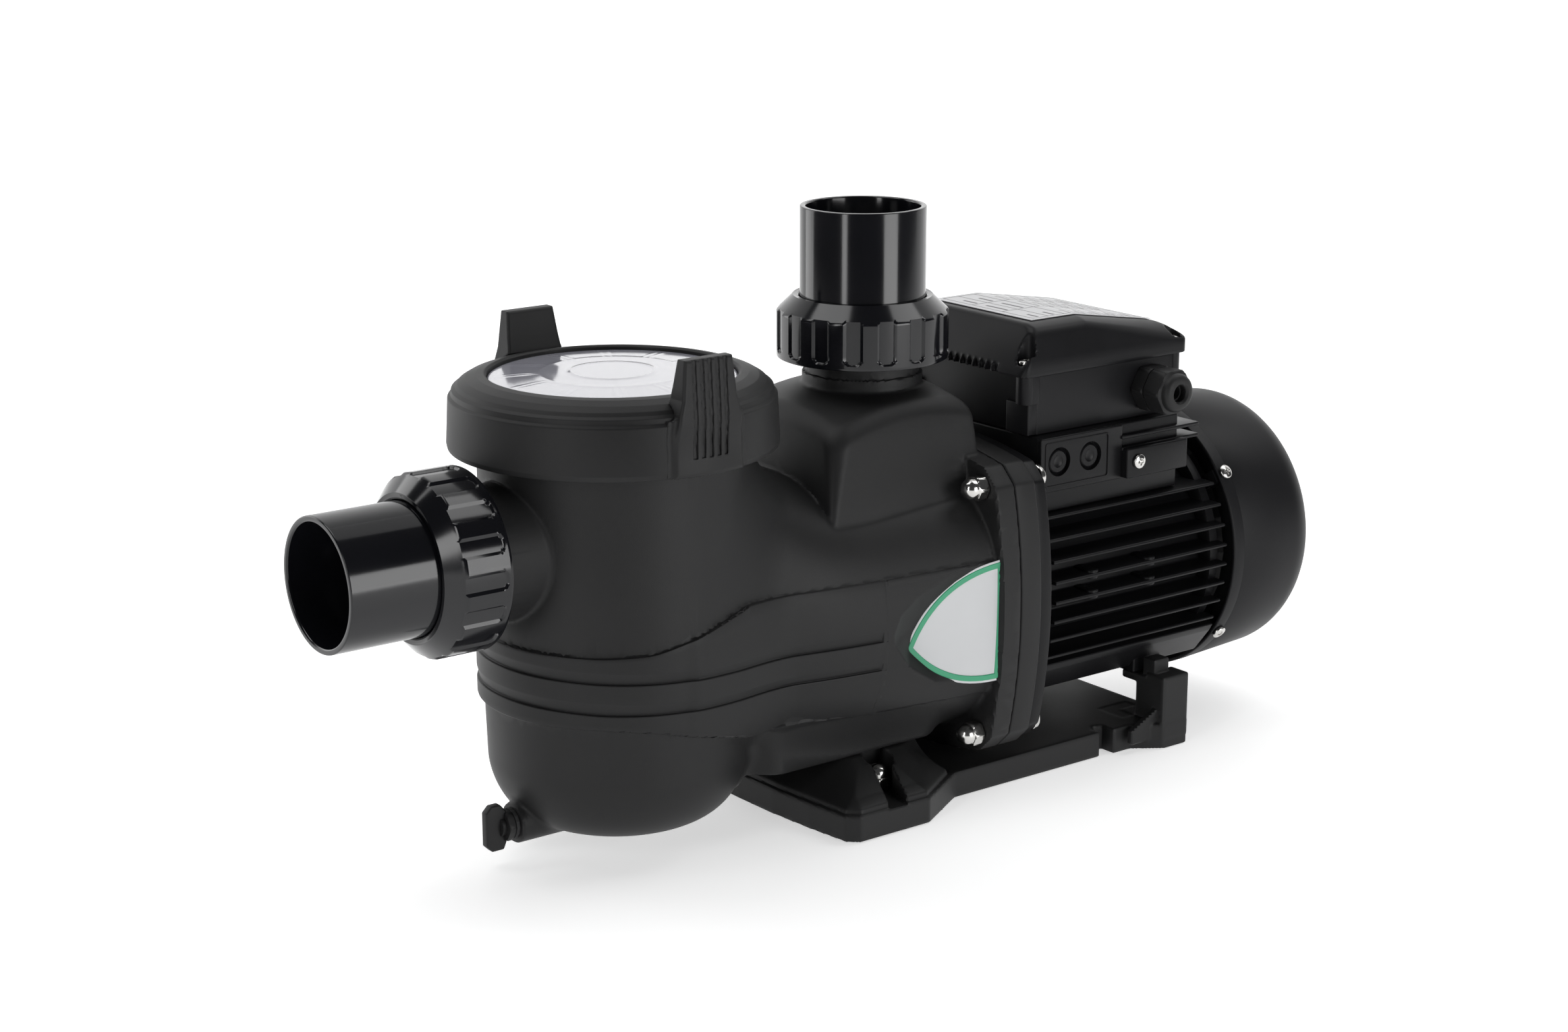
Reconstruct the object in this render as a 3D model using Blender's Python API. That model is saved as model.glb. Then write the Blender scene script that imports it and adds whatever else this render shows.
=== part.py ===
"""Self-priming pool pump with a strainer pot, built as separate parts in metres, +Z up.

The origin is on the floor under the discharge axis. +X runs from the pump towards the motor.
"""

import math

import bmesh
import bpy
from mathutils import Matrix, Vector

# Driving dimensions, in millimetres until mm() turns them into metres.
GAP = 0.3
SHAFT_Z = 106.0
POT_X = -166.9
SUCTION_Z = 169.9

PIPE_RADIUS = 35.0
PIPE_BORE = 31.7
NUT_RADIUS = 47.9
NUT_LENGTH = 34.5
UNION_LENGTH = 83.8
NECK_RADIUS = 31.8
THREAD_RADIUS = 41.2
NUT_POCKETS = 16
DISCHARGE_NUT_Z = 243.1
SUCTION_NUT_X = -259.4

POT_RADIUS = 71.8
POT_RIM_RADIUS = 81.8
POT_RIM_TOP = 241.0
POT_CAVITY = 64.5
LID_RADIUS = 87.2
LID_BOTTOM = 216.8
LID_TAB_TOP = 276.0
WINDOW_RADIUS = 65.0
BASKET_SLOTS = 10

FLANGE_CORNER = 80.0
FLANGE_BULGE = 90.0
FLANGE_FRONT = 28.0
PLATE_FRONT = 42.3
SHIELD_FRONT = 57.3
SHIELD_BACK = 66.0
BOLT_OFFSET = 71.0
BOLT_RADIUS = 4.0

HOUSING_FRONT = 66.3
HOUSING_BACK = 213.0
FIN_RADIUS = 82.0
CORE_RADIUS = 66.0
BORE_RADIUS = 61.0
FIN_COUNT = 8
FIN_PITCH = 11.6
FIN_TOP = 44.0
FIN_THICKNESS = 2.4

COVER_FRONT = 217.5
COVER_BACK = 294.0
COVER_RADIUS = 83.4
COVER_WALL = 1.8
COVER_SCREW_ANGLE = 36.0
GRILLE_SLOTS = 10

BOX_FRONT = 74.0
BOX_BACK = 190.0
BOX_HALF = 57.0
BOX_BOTTOM = 196.0
BOX_TOP = 230.0

BASE_TOP = 15.0
BASE_HALF = 93.3
REST_TOP = 41.0


def mm(value):
    """Millimetres to metres, for a number or a nest of them."""
    if isinstance(value, (int, float)):
        return value * 0.001
    return [mm(item) for item in value]


def clear_scene():
    for obj in list(bpy.data.objects):
        bpy.data.objects.remove(obj, do_unlink=True)


def make_material(name, colour, roughness, metallic=0.0, alpha=1.0):
    material = bpy.data.materials.new(name)
    material.use_nodes = True
    shader = material.node_tree.nodes["Principled BSDF"]
    shader.inputs["Base Color"].default_value = (*colour, 1.0)
    shader.inputs["Roughness"].default_value = roughness
    shader.inputs["Metallic"].default_value = metallic
    shader.inputs["Alpha"].default_value = alpha
    material.diffuse_color = (*colour, alpha)
    return material


def finish(name, mesh_data, material, place=None, smooth_angle=30.0):
    """A new object from a bmesh, with its normals out and its round faces smooth."""
    bmesh.ops.recalc_face_normals(mesh_data, faces=mesh_data.faces)
    mesh = bpy.data.meshes.new(name)
    mesh_data.to_mesh(mesh)
    mesh_data.free()
    mesh.shade_smooth()
    mesh.set_sharp_from_angle(angle=math.radians(smooth_angle))
    obj = bpy.data.objects.new(name, mesh)
    bpy.context.scene.collection.objects.link(obj)
    if material:
        mesh.materials.append(material)
    if place:
        obj.matrix_world = place
    return obj


def at(x, y, z, axis="Z"):
    """The place in millimetres of a shape whose own Z axis is turned onto the named axis."""
    turns = {
        "Z": Matrix.Identity(4),
        "-Z": Matrix.Rotation(math.pi, 4, "X"),
        "X": Matrix.Rotation(math.pi / 2, 4, "Y"),
        "-X": Matrix.Rotation(-math.pi / 2, 4, "Y"),
        "Y": Matrix.Rotation(-math.pi / 2, 4, "X"),
        "-Y": Matrix.Rotation(math.pi / 2, 4, "X"),
    }
    return Matrix.Translation(Vector(mm((x, y, z)))) @ turns[axis]


def turned(name, profile, material=None, place=None, segments=20):
    """A closed solid of revolution about its own Z, from (radius, height) points in millimetres."""
    shape = bmesh.new()
    rings = []
    for radius, height in profile:
        if radius == 0:
            rings.append([shape.verts.new(mm((0.0, 0.0, height)))])
            continue
        ring = []
        for step in range(segments):
            angle = 2 * math.pi * step / segments
            point = (radius * math.cos(angle), radius * math.sin(angle), height)
            ring.append(shape.verts.new(mm(point)))
        rings.append(ring)
    pairs = list(zip(rings, rings[1:]))
    if len(rings[0]) > 1 and len(rings[-1]) > 1:
        pairs.append((rings[-1], rings[0]))
    for low, high in pairs:
        for step in range(segments):
            after = (step + 1) % segments
            if len(low) == 1 and len(high) == 1:
                continue
            if len(low) == 1:
                shape.faces.new((low[0], high[step], high[after]))
            elif len(high) == 1:
                shape.faces.new((low[step], low[after], high[0]))
            else:
                shape.faces.new((low[step], low[after], high[after], high[step]))
    return finish(name, shape, material, place)


def rod(name, radius, start, end, material=None, place=None, segments=16):
    """A plain cylinder along its own Z."""
    profile = [(0, start), (radius, start), (radius, end), (0, end)]
    return turned(name, profile, material, place, segments)


def ring(name, inner, outer, start, end, material=None, place=None, segments=20):
    """A plain tube along its own Z."""
    profile = [(inner, start), (outer, start), (outer, end), (inner, end)]
    return turned(name, profile, material, place, segments)


def lofted(name, sections, material=None, place=None, smooth_angle=30.0):
    """A closed skin over sections of equal point count, each a list of points in millimetres."""
    shape = bmesh.new()
    rows = [[shape.verts.new(mm(point)) for point in section] for section in sections]
    count = len(rows[0])
    for low, high in zip(rows, rows[1:]):
        for step in range(count):
            after = (step + 1) % count
            shape.faces.new((low[step], low[after], high[after], high[step]))
    shape.faces.new(rows[0])
    shape.faces.new(rows[-1])
    return finish(name, shape, material, place, smooth_angle)


def prism(name, outline, start, end, material=None, place=None):
    """An outline in its own XY, extruded along its own Z."""
    sections = [[(x, y, height) for x, y in outline] for height in (start, end)]
    return lofted(name, sections, material, place)


def block(name, low, high, material=None):
    outline = [(low[0], low[1]), (high[0], low[1]), (high[0], high[1]), (low[0], high[1])]
    return prism(name, outline, low[2], high[2], material)


def merged(name, helpers):
    """One helper mesh that holds several shapes, for a Boolean that uses them all at once."""
    shape = bmesh.new()
    for helper in helpers:
        copy = helper.data.copy()
        copy.transform(helper.matrix_world)
        shape.from_mesh(copy)
        bpy.data.objects.remove(helper, do_unlink=True)
    return finish(name, shape, None)


def combine(target, helper, operation, solver):
    helper.hide_render = True
    helper.display_type = "WIRE"
    helper.name = f"helper_{target.name}_{len(target.modifiers)}"
    step = target.modifiers.new(operation.lower(), "BOOLEAN")
    step.operation = operation
    step.solver = solver
    step.object = helper


def join(target, *helpers, solver="EXACT"):
    for helper in helpers:
        combine(target, helper, "UNION", solver)


def cut(target, *helpers, solver="EXACT"):
    for helper in helpers:
        combine(target, helper, "DIFFERENCE", solver)


def arc(centre, radius, start, end, steps):
    """Points of an arc in the plane, from one angle to another in degrees."""
    points = []
    for step in range(steps + 1):
        angle = math.radians(start + (end - start) * step / steps)
        points.append((centre[0] + radius * math.cos(angle), centre[1] + radius * math.sin(angle)))
    return points


def rounded_box_outline(x0, x1, y0, y1, radius, steps=3):
    outline = arc((x1 - radius, y1 - radius), radius, 0, 90, steps)
    outline += arc((x0 + radius, y1 - radius), radius, 90, 180, steps)
    outline += arc((x0 + radius, y0 + radius), radius, 180, 270, steps)
    outline += arc((x1 - radius, y0 + radius), radius, 270, 360, steps)
    return outline


def flange_outline(shrink=0.0):
    """A square with bulging sides and cut corners, centred on the shaft axis."""
    reach = FLANGE_CORNER * 0.9
    side = []
    for step in range(-2, 3):
        along = reach * step / 2
        out = FLANGE_BULGE - (FLANGE_BULGE - FLANGE_CORNER) * (along / FLANGE_CORNER) ** 2
        side.append((out - shrink, along * (1 - shrink / FLANGE_CORNER)))
    outline = []
    for quarter in range(4):
        for out, along in side:
            turn = {0: (out, along), 1: (-along, out), 2: (-out, -along), 3: (along, -out)}
            outline.append(turn[quarter])
    return outline


def superellipse(half_width, half_height, power, count):
    points = []
    for step in range(count):
        angle = 2 * math.pi * (step + 0.5) / count
        cos, sin = math.cos(angle), math.sin(angle)
        across = math.copysign(abs(cos) ** (2 / power), cos) * half_width
        up = math.copysign(abs(sin) ** (2 / power), sin) * half_height
        points.append((across, up))
    return points


clear_scene()

BLACK = (0.022, 0.022, 0.024)
PLASTIC = make_material("body_plastic", BLACK, 0.55)
GLOSS = make_material("union_plastic", (0.012, 0.012, 0.014), 0.12)
PAINT = make_material("motor_paint", (0.016, 0.016, 0.018), 0.35)
SATIN = make_material("cover_satin", (0.020, 0.020, 0.022), 0.42)
CLEAR = make_material("clear_lid", (0.86, 0.87, 0.90), 0.08, alpha=0.35)
STEEL = make_material("stainless", (0.74, 0.73, 0.71), 0.16, metallic=1.0)
RUBBER = make_material("seal_rubber", (0.015, 0.015, 0.015), 0.8)
BADGE = make_material("badge_white", (0.72, 0.72, 0.72), 0.35)
LABEL = make_material("label_silver", (0.50, 0.50, 0.52), 0.40)
NYLON = make_material("basket_nylon", (0.62, 0.64, 0.66), 0.45)
NORYL = make_material("hydraulic_plastic", (0.10, 0.10, 0.11), 0.45)
CERAMIC = make_material("seal_ceramic", (0.80, 0.78, 0.74), 0.25)
IRON = make_material("core_steel", (0.30, 0.30, 0.31), 0.45, metallic=1.0)
COPPER = make_material("winding_copper", (0.55, 0.22, 0.10), 0.35, metallic=1.0)
PALE = make_material("terminal_plastic", (0.60, 0.58, 0.52), 0.5)


# ---------------------------------------------------------------- pump body


def pot_profile():
    """Outside of the strainer pot: rounded bottom, belt, wall and the threaded rim."""
    points = [(0.0, 11.4)]
    for step in range(1, 7):
        angle = math.pi / 2 * (1 - step / 6)
        radius = 70.1 * max(math.cos(angle), 0.0) ** 0.418
        points.append((radius, 48.8 - 37.4 * math.sin(angle) ** 1.25))
    points += [(71.1, 79), (74.3, 83), (75.0, 92), (74.8, 121), (72.8, 122)]
    points += [(POT_RADIUS, 200), (POT_RADIUS, 216)]
    points += [(POT_RIM_RADIUS, 218), (POT_RIM_RADIUS, POT_RIM_TOP), (0.0, POT_RIM_TOP)]
    return points


def barrel_sections(extra=0.0, front=-150.0):
    """Cross sections of the volute barrel, tall at the strainer pot and wide at the flange."""
    stations = [
        (front, 58.0, 100.0, 56.0),
        (-105.0, 69.0, 99.0, 63.0),
        (-75.0, 75.5, 83.0, 67.0),
        (-45.0, 80.0, 77.0, 71.0),
        (FLANGE_FRONT + 6.0, 87.0, 79.0, 80.0),
    ]
    sections = []
    for x, half, top, bottom in stations:
        outline = superellipse(half + extra, 1.0, 2.5, 24)
        section = []
        for across, share in outline:
            section.append((x, across, SHAFT_Z + share * ((top if share > 0 else bottom) + extra)))
        sections.append(section)
    return sections


def hump_sections():
    """Discharge block on top of the barrel, drawn in towards its top face."""
    stages = [
        (120.0, -70.0, 40.5, 60.0, 10.0),
        (172.0, -67.0, 40.5, 59.0, 11.0),
        (214.0, -60.0, 38.5, 52.0, 13.0),
        (224.0, -55.0, 36.0, 47.5, 12.0),
        (227.8, -44.0, 30.0, 38.0, 10.0),
    ]
    sections = []
    for z, x0, x1, half, radius in stages:
        outline = rounded_box_outline(x0, x1, -half, half, radius)
        sections.append([(x, y, z) for x, y in outline])
    return sections


def shield_section(grow, lift):
    """The badge's pointed outline, on a plane that follows the barrel's taper."""
    top, bottom, tip = (27.7, 133.9), (26.8, 73.5), (-24.0, 95.5)
    centre = Vector((8.0, 102.0))
    points = []
    for start, end, bow in ((top, tip, 9.0), (tip, bottom, 7.0), (bottom, top, 0.6)):
        along = Vector((end[0] - start[0], end[1] - start[1]))
        out = Vector((along.y, -along.x)).normalized()
        for step in range(6):
            share = step / 6
            push = bow * 4 * share * (1 - share)
            spot = Vector(start) + along * share + out * push
            spot += (spot - centre).normalized() * grow
            points.append((spot.x, -(78.7 + 0.193 * spot.x + lift), spot.y))
    return points


def build_pump_body():
    body = turned("pump_body", pot_profile(), PLASTIC, at(POT_X, 0, 0), segments=28)
    boss = rod("boss", 36.0, 40.0, 95.0, place=at(POT_X, 0, SUCTION_Z, "-X"), segments=24)
    suction_thread = rod(
        "thread", THREAD_RADIUS, 1.0, 18.5, place=at(SUCTION_NUT_X, 0, SUCTION_Z, "-X")
    )
    barrel = lofted("barrel", barrel_sections())
    pedestal = prism(
        "pedestal",
        rounded_box_outline(-112, 10, -58, 58, 14),
        34.0 + GAP,
        80.0,
    )
    hump = lofted("hump", hump_sections())
    neck = rod("neck", NECK_RADIUS, 190.0, DISCHARGE_NUT_Z + 3, place=at(0, 0, 0), segments=24)
    discharge_thread = rod(
        "thread", THREAD_RADIUS, 1.0, 18.5, place=at(0, 0, DISCHARGE_NUT_Z)
    )
    flange = prism(
        "flange",
        flange_outline(),
        FLANGE_FRONT,
        PLATE_FRONT - GAP,
        place=at(0, 0, SHAFT_Z, "X"),
    )
    drain_boss = rod("drain", 11.0, 50.0, 68.0, place=at(POT_X, 0, 20.5, "-X"))
    solids = (boss, suction_thread, barrel, pedestal, hump, neck)
    solids += (discharge_thread, flange, drain_boss)
    join(body, *solids, solver="MANIFOLD")

    cavity = turned(
        "cavity",
        [(0, 17), (44, 20), (57, 31), (POT_CAVITY, 50), (POT_CAVITY, 207), (69, 208), (69, 260), (0, 260)],
        place=at(POT_X, 0, 0),
        segments=28,
    )
    inlet = rod("inlet", PIPE_BORE - 2, 40.0, 130.0, place=at(POT_X, 0, SUCTION_Z, "-X"))
    eye = rod("eye", 24.0, -120.0, -20.0, place=at(0, 0, SHAFT_Z, "X"))
    volute = turned(
        "volute",
        [(0, -52), (54, -52), (62, -40), (68, FLANGE_FRONT), (68, 60), (0, 60)],
        place=at(0, 0, SHAFT_Z, "X"),
    )
    outlet = rod("outlet", 26.0, 150.0, 280.0, place=at(0, 0, 0))
    drain = rod("drain_hole", 5.2, 40.0, 80.0, place=at(POT_X, 0, 20.5, "-X"), segments=16)
    seat_recess = lofted("recess", [shield_section(0.6, 0.0), shield_section(9.0, 16.0)])
    hollows = (cavity, inlet, eye, volute, outlet, drain, seat_recess, bolt_holes("body"))
    cut(body, *hollows, solver="MANIFOLD")


def bolt_places():
    for side in (-1, 1):
        for height in (1, -1):
            label = ("front", "back")[side > 0] + ("_lower", "_upper")[height > 0]
            yield label, side * BOLT_OFFSET, SHAFT_Z + height * BOLT_OFFSET


def bolt_holes(name):
    holes = []
    for label, y, z in bolt_places():
        hole = rod(label, BOLT_RADIUS + GAP, 0.0, 90.0, place=at(0, y, z, "X"), segments=12)
        holes.append(hole)
    return merged(f"{name}_holes", holes)


def build_badge():
    lofted("badge_plate", [shield_section(0.0, GAP), shield_section(0.0, 1.8)], BADGE)


# ------------------------------------------------------------- pipe unions


def build_union(name, x, z, axis):
    """A tail pipe, its turning nut and its O-ring, from the back face of the nut outwards."""
    place = at(x, 0, z, axis)
    face = 18.5 + GAP
    turned(
        f"{name}_tail",
        [
            (26.0, face),
            (31.5, face),
            (31.5, face + 2.2),
            (36.5, face + 2.2),
            (36.5, face),
            (41.0, face),
            (41.0, 25.5),
            (PIPE_RADIUS, 25.5),
            (PIPE_RADIUS, UNION_LENGTH),
            (PIPE_BORE, UNION_LENGTH),
            (PIPE_BORE, 45.0),
            (26.0, 43.0),
        ],
        GLOSS,
        place,
        segments=28,
    )
    turned(
        f"{name}_oring",
        [(32.0, 18.8), (36.0, 18.8), (36.0, 20.7), (32.0, 20.7)],
        RUBBER,
        place,
        segments=28,
    )
    nut = turned(
        f"{name}_nut",
        [
            (41.7, 0.0),
            (NUT_RADIUS, 0.0),
            (NUT_RADIUS, 25.8),
            (38.9, NUT_LENGTH),
            (35.6, NUT_LENGTH),
            (35.6, 26.0),
            (41.7, 26.0),
        ],
        GLOSS,
        place,
        segments=32,
    )
    pockets = []
    for step in range(NUT_POCKETS):
        turn = Matrix.Rotation(2 * math.pi * (step + 0.5) / NUT_POCKETS, 4, "Z")
        floor = NUT_RADIUS - 1.5
        outline = [(floor, -4.4), (NUT_RADIUS + 4, -4.4), (NUT_RADIUS + 4, 4.4), (floor, 4.4)]
        pockets.append(prism("pocket", outline, 4.0, 30.0, place=place @ turn))
    cut(nut, merged("pockets", pockets))


# ------------------------------------------------------ strainer and its lid


def build_lid():
    place = at(POT_X, 0, 0)
    lid = turned(
        "lid_ring",
        [
            (82.4, LID_BOTTOM),
            (LID_RADIUS, LID_BOTTOM),
            (85.9, 244.9),
            (82.6, 248.7),
            (78.0, 251.6),
            (70.0, 254.2),
            (WINDOW_RADIUS + 0.6, 254.4),
            (WINDOW_RADIUS + 0.6, 249.4),
            (80.6, 249.4),
            (82.4, 247.6),
        ],
        PLASTIC,
        place,
        segments=40,
    )
    for side in (-1, 1):
        sections = []
        for z, inner, outer, half in (
            (217.4, 83.5, 89.2, 20.0),
            (249.8, 82.9, 88.5, 18.2),
            (254.0, 72.0, 88.3, 17.4),
            (LID_TAB_TOP, 78.0, 86.4, 14.0),
        ):
            sections.append(
                [
                    (POT_X - half, side * inner, z),
                    (POT_X + half, side * inner, z),
                    (POT_X + half, side * outer, z),
                    (POT_X - half, side * outer, z),
                ]
            )
        join(lid, lofted("tab", sections))
    turned(
        "lid_window",
        [
            (0, 252.6),
            (60.0, 250.4),
            (64.0, 245.2),
            (80.2, 245.2),
            (80.2, 248.9),
            (WINDOW_RADIUS, 249.0),
            (WINDOW_RADIUS, 253.2),
            (40.0, 254.8),
            (0, 255.6),
        ],
        CLEAR,
        place,
        segments=32,
    )
    turned(
        "lid_seal",
        [(73.0, 241.3), (77.0, 241.3), (77.0, 244.9), (73.0, 244.9)],
        RUBBER,
        place,
        segments=32,
    )


def build_basket():
    place = at(POT_X, 0, 0)
    basket = turned(
        "strainer_basket",
        [
            (0, 60.0),
            (48.0, 60.0),
            (55.5, 208.4),
            (66.5, 208.4),
            (66.5, 211.0),
            (53.4, 211.0),
            (46.0, 62.4),
            (0, 62.4),
        ],
        NYLON,
        place,
        segments=24,
    )
    slots = []
    for step in range(BASKET_SLOTS):
        turn = Matrix.Rotation(2 * math.pi * (step + 0.5) / BASKET_SLOTS, 4, "Z")
        outline = [(40, -7), (70, -7), (70, 7), (40, 7)]
        slots.append(prism("slot", outline, 70.0, 134.0, place=place @ turn))
    cut(basket, merged("slots", slots))
    cut(basket, rod("inlet", 29.0, 30.0, 80.0, place=at(POT_X, 0, SUCTION_Z, "-X"), segments=24))
    sockets = []
    for side in (-1, 1):
        place = at(POT_X, 0, 202.0, ("-Y", "Y")[side > 0])
        sockets.append(rod("socket", 2.3, 40.0, 64.0, place=place, segments=12))
    cut(basket, merged("sockets", sockets))


def build_basket_handle():
    """A wire bail that lies flat across the top of the basket and hinges on two side pins."""
    path = [(0.0, 57.5)]
    for turn in range(0, 181, 20):
        angle = math.radians(turn)
        path.append((-44.0 * math.sin(angle), 49.5 * math.cos(angle)))
    path.append((0.0, -57.5))
    curve = bpy.data.curves.new("basket_handle", "CURVE")
    curve.dimensions = "3D"
    curve.bevel_depth = mm(1.8)
    curve.bevel_resolution = 2
    curve.use_fill_caps = True
    spline = curve.splines.new("POLY")
    spline.points.add(len(path) - 1)
    for point, (x, y) in zip(spline.points, path):
        point.co = (*mm((x, y, 0.0)), 1.0)
    handle = bpy.data.objects.new("basket_handle", curve)
    handle.matrix_world = at(POT_X, 0, 202.0)
    curve.materials.append(NYLON)
    bpy.context.scene.collection.objects.link(handle)


def build_drain_plug():
    place = at(POT_X - 68.0, 0, 20.5, "-X")
    plug = turned(
        "drain_plug",
        [(0, -9.0), (4.8, -9.0), (4.8, 2.6), (9.0, 2.7), (9.0, 6.0), (5.5, 6.4), (5.5, 9.0), (0, 9.0)],
        PLASTIC,
        place,
        segments=24,
    )
    wing = prism(
        "wing",
        [
            (-12.8, 6.5),
            (-9.5, 5.0),
            (9.5, 5.0),
            (12.8, 8.5),
            (12.8, 14.5),
            (9.5, 17.5),
            (-9.5, 17.5),
            (-12.8, 14.5),
        ],
        -2.6,
        2.6,
        place=place @ Matrix.Rotation(math.pi / 2, 4, "X"),
    )
    join(plug, wing)
    ring("drain_oring", 5.4, 8.4, GAP, 2.3, RUBBER, place, segments=16)


# ------------------------------------------------------------- base plate


def build_base():
    """One moulding: a skirt plate, sloping front feet with bolt slots, and two rear posts."""
    side = []
    for y in (0.0, 30.0, 60.0, 88.8):
        side.append((-86.5 + y * y / 1250.0, -y))
    side += [(-74.0, -93.6), (-25.0, -BASE_HALF), (10.5, -72.4), (122.6, -72.4), (122.6, -66.0)]
    side += [(126.0, -61.0), (131.8, -64.0), (131.8, -73.6), (145.3, -73.6), (161.2, -84.8)]
    side += [(181.3, -84.8)]
    outline = side + [(x, -y) for x, y in reversed(side[1:])]
    base = prism("base", outline, 0.0, BASE_TOP, PLASTIC)

    lower = [(-84.5, 0), (-84.0, -30), (-79.5, -86), (-72, -91.4), (-26, -91.2), (4, -72.0), (6, 0)]
    upper = [(-58, 0), (-58, -30), (-57, -52), (-55, -60), (-18, -60), (-2, -52), (0, 0)]
    rise = [16.5, 16.5, 17.0, 18.8, 18.8, 17.0, 16.5]
    low, middle, high = [], [], []
    for (x, y), (top_x, top_y), z in zip(lower, upper, rise):
        low.append((x, y, 10.0))
        middle.append((x, y, z))
        high.append((top_x, top_y, 34.0))
    mirrored = []
    for section in (low, middle, high):
        mirrored.append(section + [(x, -y, z) for x, y, z in reversed(section[1:-1])])
    feet = lofted("feet", mirrored)
    posts = []
    for sign in (-1, 1):
        low_y, high_y = sorted((sign * 50.0, sign * 84.8))
        posts.append(block("post", (160.3, low_y, 5), (181.3, high_y, REST_TOP)))
        low_y, high_y = sorted((sign * 70.0, sign * 84.8))
        posts.append(block("post", (160.3, low_y, 30), (181.3, high_y, 43.5)))
        low_y, high_y = sorted((sign * 66.0, sign * 76.0))
        posts.append(block("post", (161.5, low_y, 35), (173.5, high_y, 52.0)))
    join(base, feet, *posts)
    trough = lofted("trough", barrel_sections(GAP + 0.1, -120.0))
    slots, holes, pockets, hollows = [], [], [], []
    for sign in (-1, 1):
        turn = Matrix.Rotation(sign * math.radians(18), 4, "Z")
        start, end = sorted((sign * -8.0, sign * 46.0))
        slot = block("slot", (-6.0, start, 14.0), (6.0, end, 50.0))
        slot.matrix_world = at(-36.0, sign * 58.0, 0) @ turn
        slots.append(slot)
        bolt = at(-37.5, sign * 62.0, 0)
        holes.append(rod("hole", 4.4, -5, 30, place=bolt, segments=16))
        pockets.append(rod("pocket", 8.6, 13.9, 50.0, place=bolt, segments=16))
        start, end = sorted((sign * 40.0, sign * 62.0))
        hollows.append(block("hollow", (150.0, start, BASE_TOP), (174.0, end, 36.0)))
    cutters = (merged("slots", slots), merged("holes", holes), merged("pockets", pockets))
    cut(base, trough, *cutters, merged("hollows", hollows), solver="MANIFOLD")


def build_foot_bolts():
    for sign, label in ((-1, "front"), (1, "back")):
        place = at(-37.5, sign * 62.0, 0)
        bolt = rod(f"foot_bolt_{label}", BOLT_RADIUS, 3.0, 20.0, STEEL, place, segments=16)
        join(bolt, acorn("cap", place @ Matrix.Translation((0, 0, mm(14.0 + GAP)))))


# ------------------------------------------------------------- fasteners


def hexagon(across_flats):
    reach = across_flats / math.sqrt(3)
    return arc((0, 0), reach, 0, 300, 5)


def acorn(name, place, material=None):
    """A domed hexagon nut: its hexagon base and its dome, along its own Z."""
    nut = prism(name, hexagon(13.0), 0.0, 6.5, material, place)
    dome_profile = [(0, 1.0), (5.9, 1.0), (5.9, 8.0), (5.2, 10.5), (3.4, 12.6), (0, 13.6)]
    join(nut, turned("dome", dome_profile, place=place, segments=12))
    return nut


def build_flange_bolts():
    for label, y, z in bolt_places():
        head = SHIELD_BACK + GAP
        nut_face = FLANGE_FRONT - GAP
        turned(
            f"flange_bolt_{label}",
            [
                (0, nut_face - 8.0),
                (BOLT_RADIUS, nut_face - 8.0),
                (BOLT_RADIUS, head),
                (6.9, head),
                (6.9, head + 2.5),
                (5.2, head + 5.0),
                (0, head + 5.6),
            ],
            STEEL,
            at(0, y, z, "X"),
            segments=12,
        )
        nut = acorn(f"acorn_nut_{label}", at(nut_face, y, z, "-X"), STEEL)
        bore = rod("bore", BOLT_RADIUS + GAP, -5.0, 8.4, place=at(nut_face, y, z, "-X"), segments=12)
        cut(nut, bore)


def pan_screw(name, length, head_radius, shank_radius, place):
    return turned(
        name,
        [
            (0, -length),
            (shank_radius, -length),
            (shank_radius, 0),
            (head_radius, 0),
            (head_radius * 0.9, 1.7),
            (0, 2.8),
        ],
        STEEL,
        place,
        segments=10,
    )


# ---------------------------------------------------- hydraulics and seals


def build_hydraulics():
    shaft = at(0, 0, SHAFT_Z, "X")
    turned(
        "diffuser",
        [(26.6, -22.0), (61.0, -22.0), (61.0, 41.5), (56.0, 41.5), (56.0, -14.0), (26.6, -14.0)],
        NORYL,
        shaft,
    )
    ring("wear_ring", 23.6, 25.9, -13.5, 2.0, RUBBER, shaft)
    impeller = ring("impeller", 6.6, 52.0, 19.0, 22.5, NORYL, shaft, segments=24)
    hub = ring("hub", 6.5, 13.0, 0.0, 26.0, place=shaft, segments=20)
    eye_ring = [(19.0, -12), (23.0, -12), (23.0, 4), (52.0, 9), (52.0, 12), (19.0, 7)]
    shroud = turned("shroud", eye_ring, place=shaft)
    vanes = []
    for step in range(6):
        turn = Matrix.Rotation(math.pi * step / 3, 4, "Z")
        outline = arc((36, -24), 26.5, 118, 58, 3) + arc((36, -24), 24.0, 55, 118, 3)
        vanes.append(prism("vane", outline, 5.5, 20.0, place=shaft @ turn))
    join(impeller, hub, shroud, merged("vanes", vanes))
    ring("seal_rotating", 7.4, 14.0, 26.3, 37.0, CERAMIC, shaft, segments=16)
    ring("seal_seat", 9.0, 15.2, 37.3, 47.0, CERAMIC, shaft, segments=16)

    plate = prism("seal_plate", flange_outline(), PLATE_FRONT, SHIELD_FRONT - GAP, PLASTIC, shaft)
    relief = turned("relief", [(0, 50), (26, 50), (30, 60), (0, 60)], place=shaft)
    bore = rod("bore", 9.6, 30, 70, place=shaft)
    pocket = rod("pocket", 15.9, 30, 47.3, place=shaft)
    groove = ring("groove", 63.6, 68.2, 40.0, 44.6, place=shaft, segments=24)
    cut(plate, relief, bore, pocket, groove, bolt_holes("plate"), solver="MANIFOLD")
    ring("body_gasket", 64.6, 67.2, 42.6, 44.3, RUBBER, shaft, segments=24)


# ---------------------------------------------------------------- motor


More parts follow.
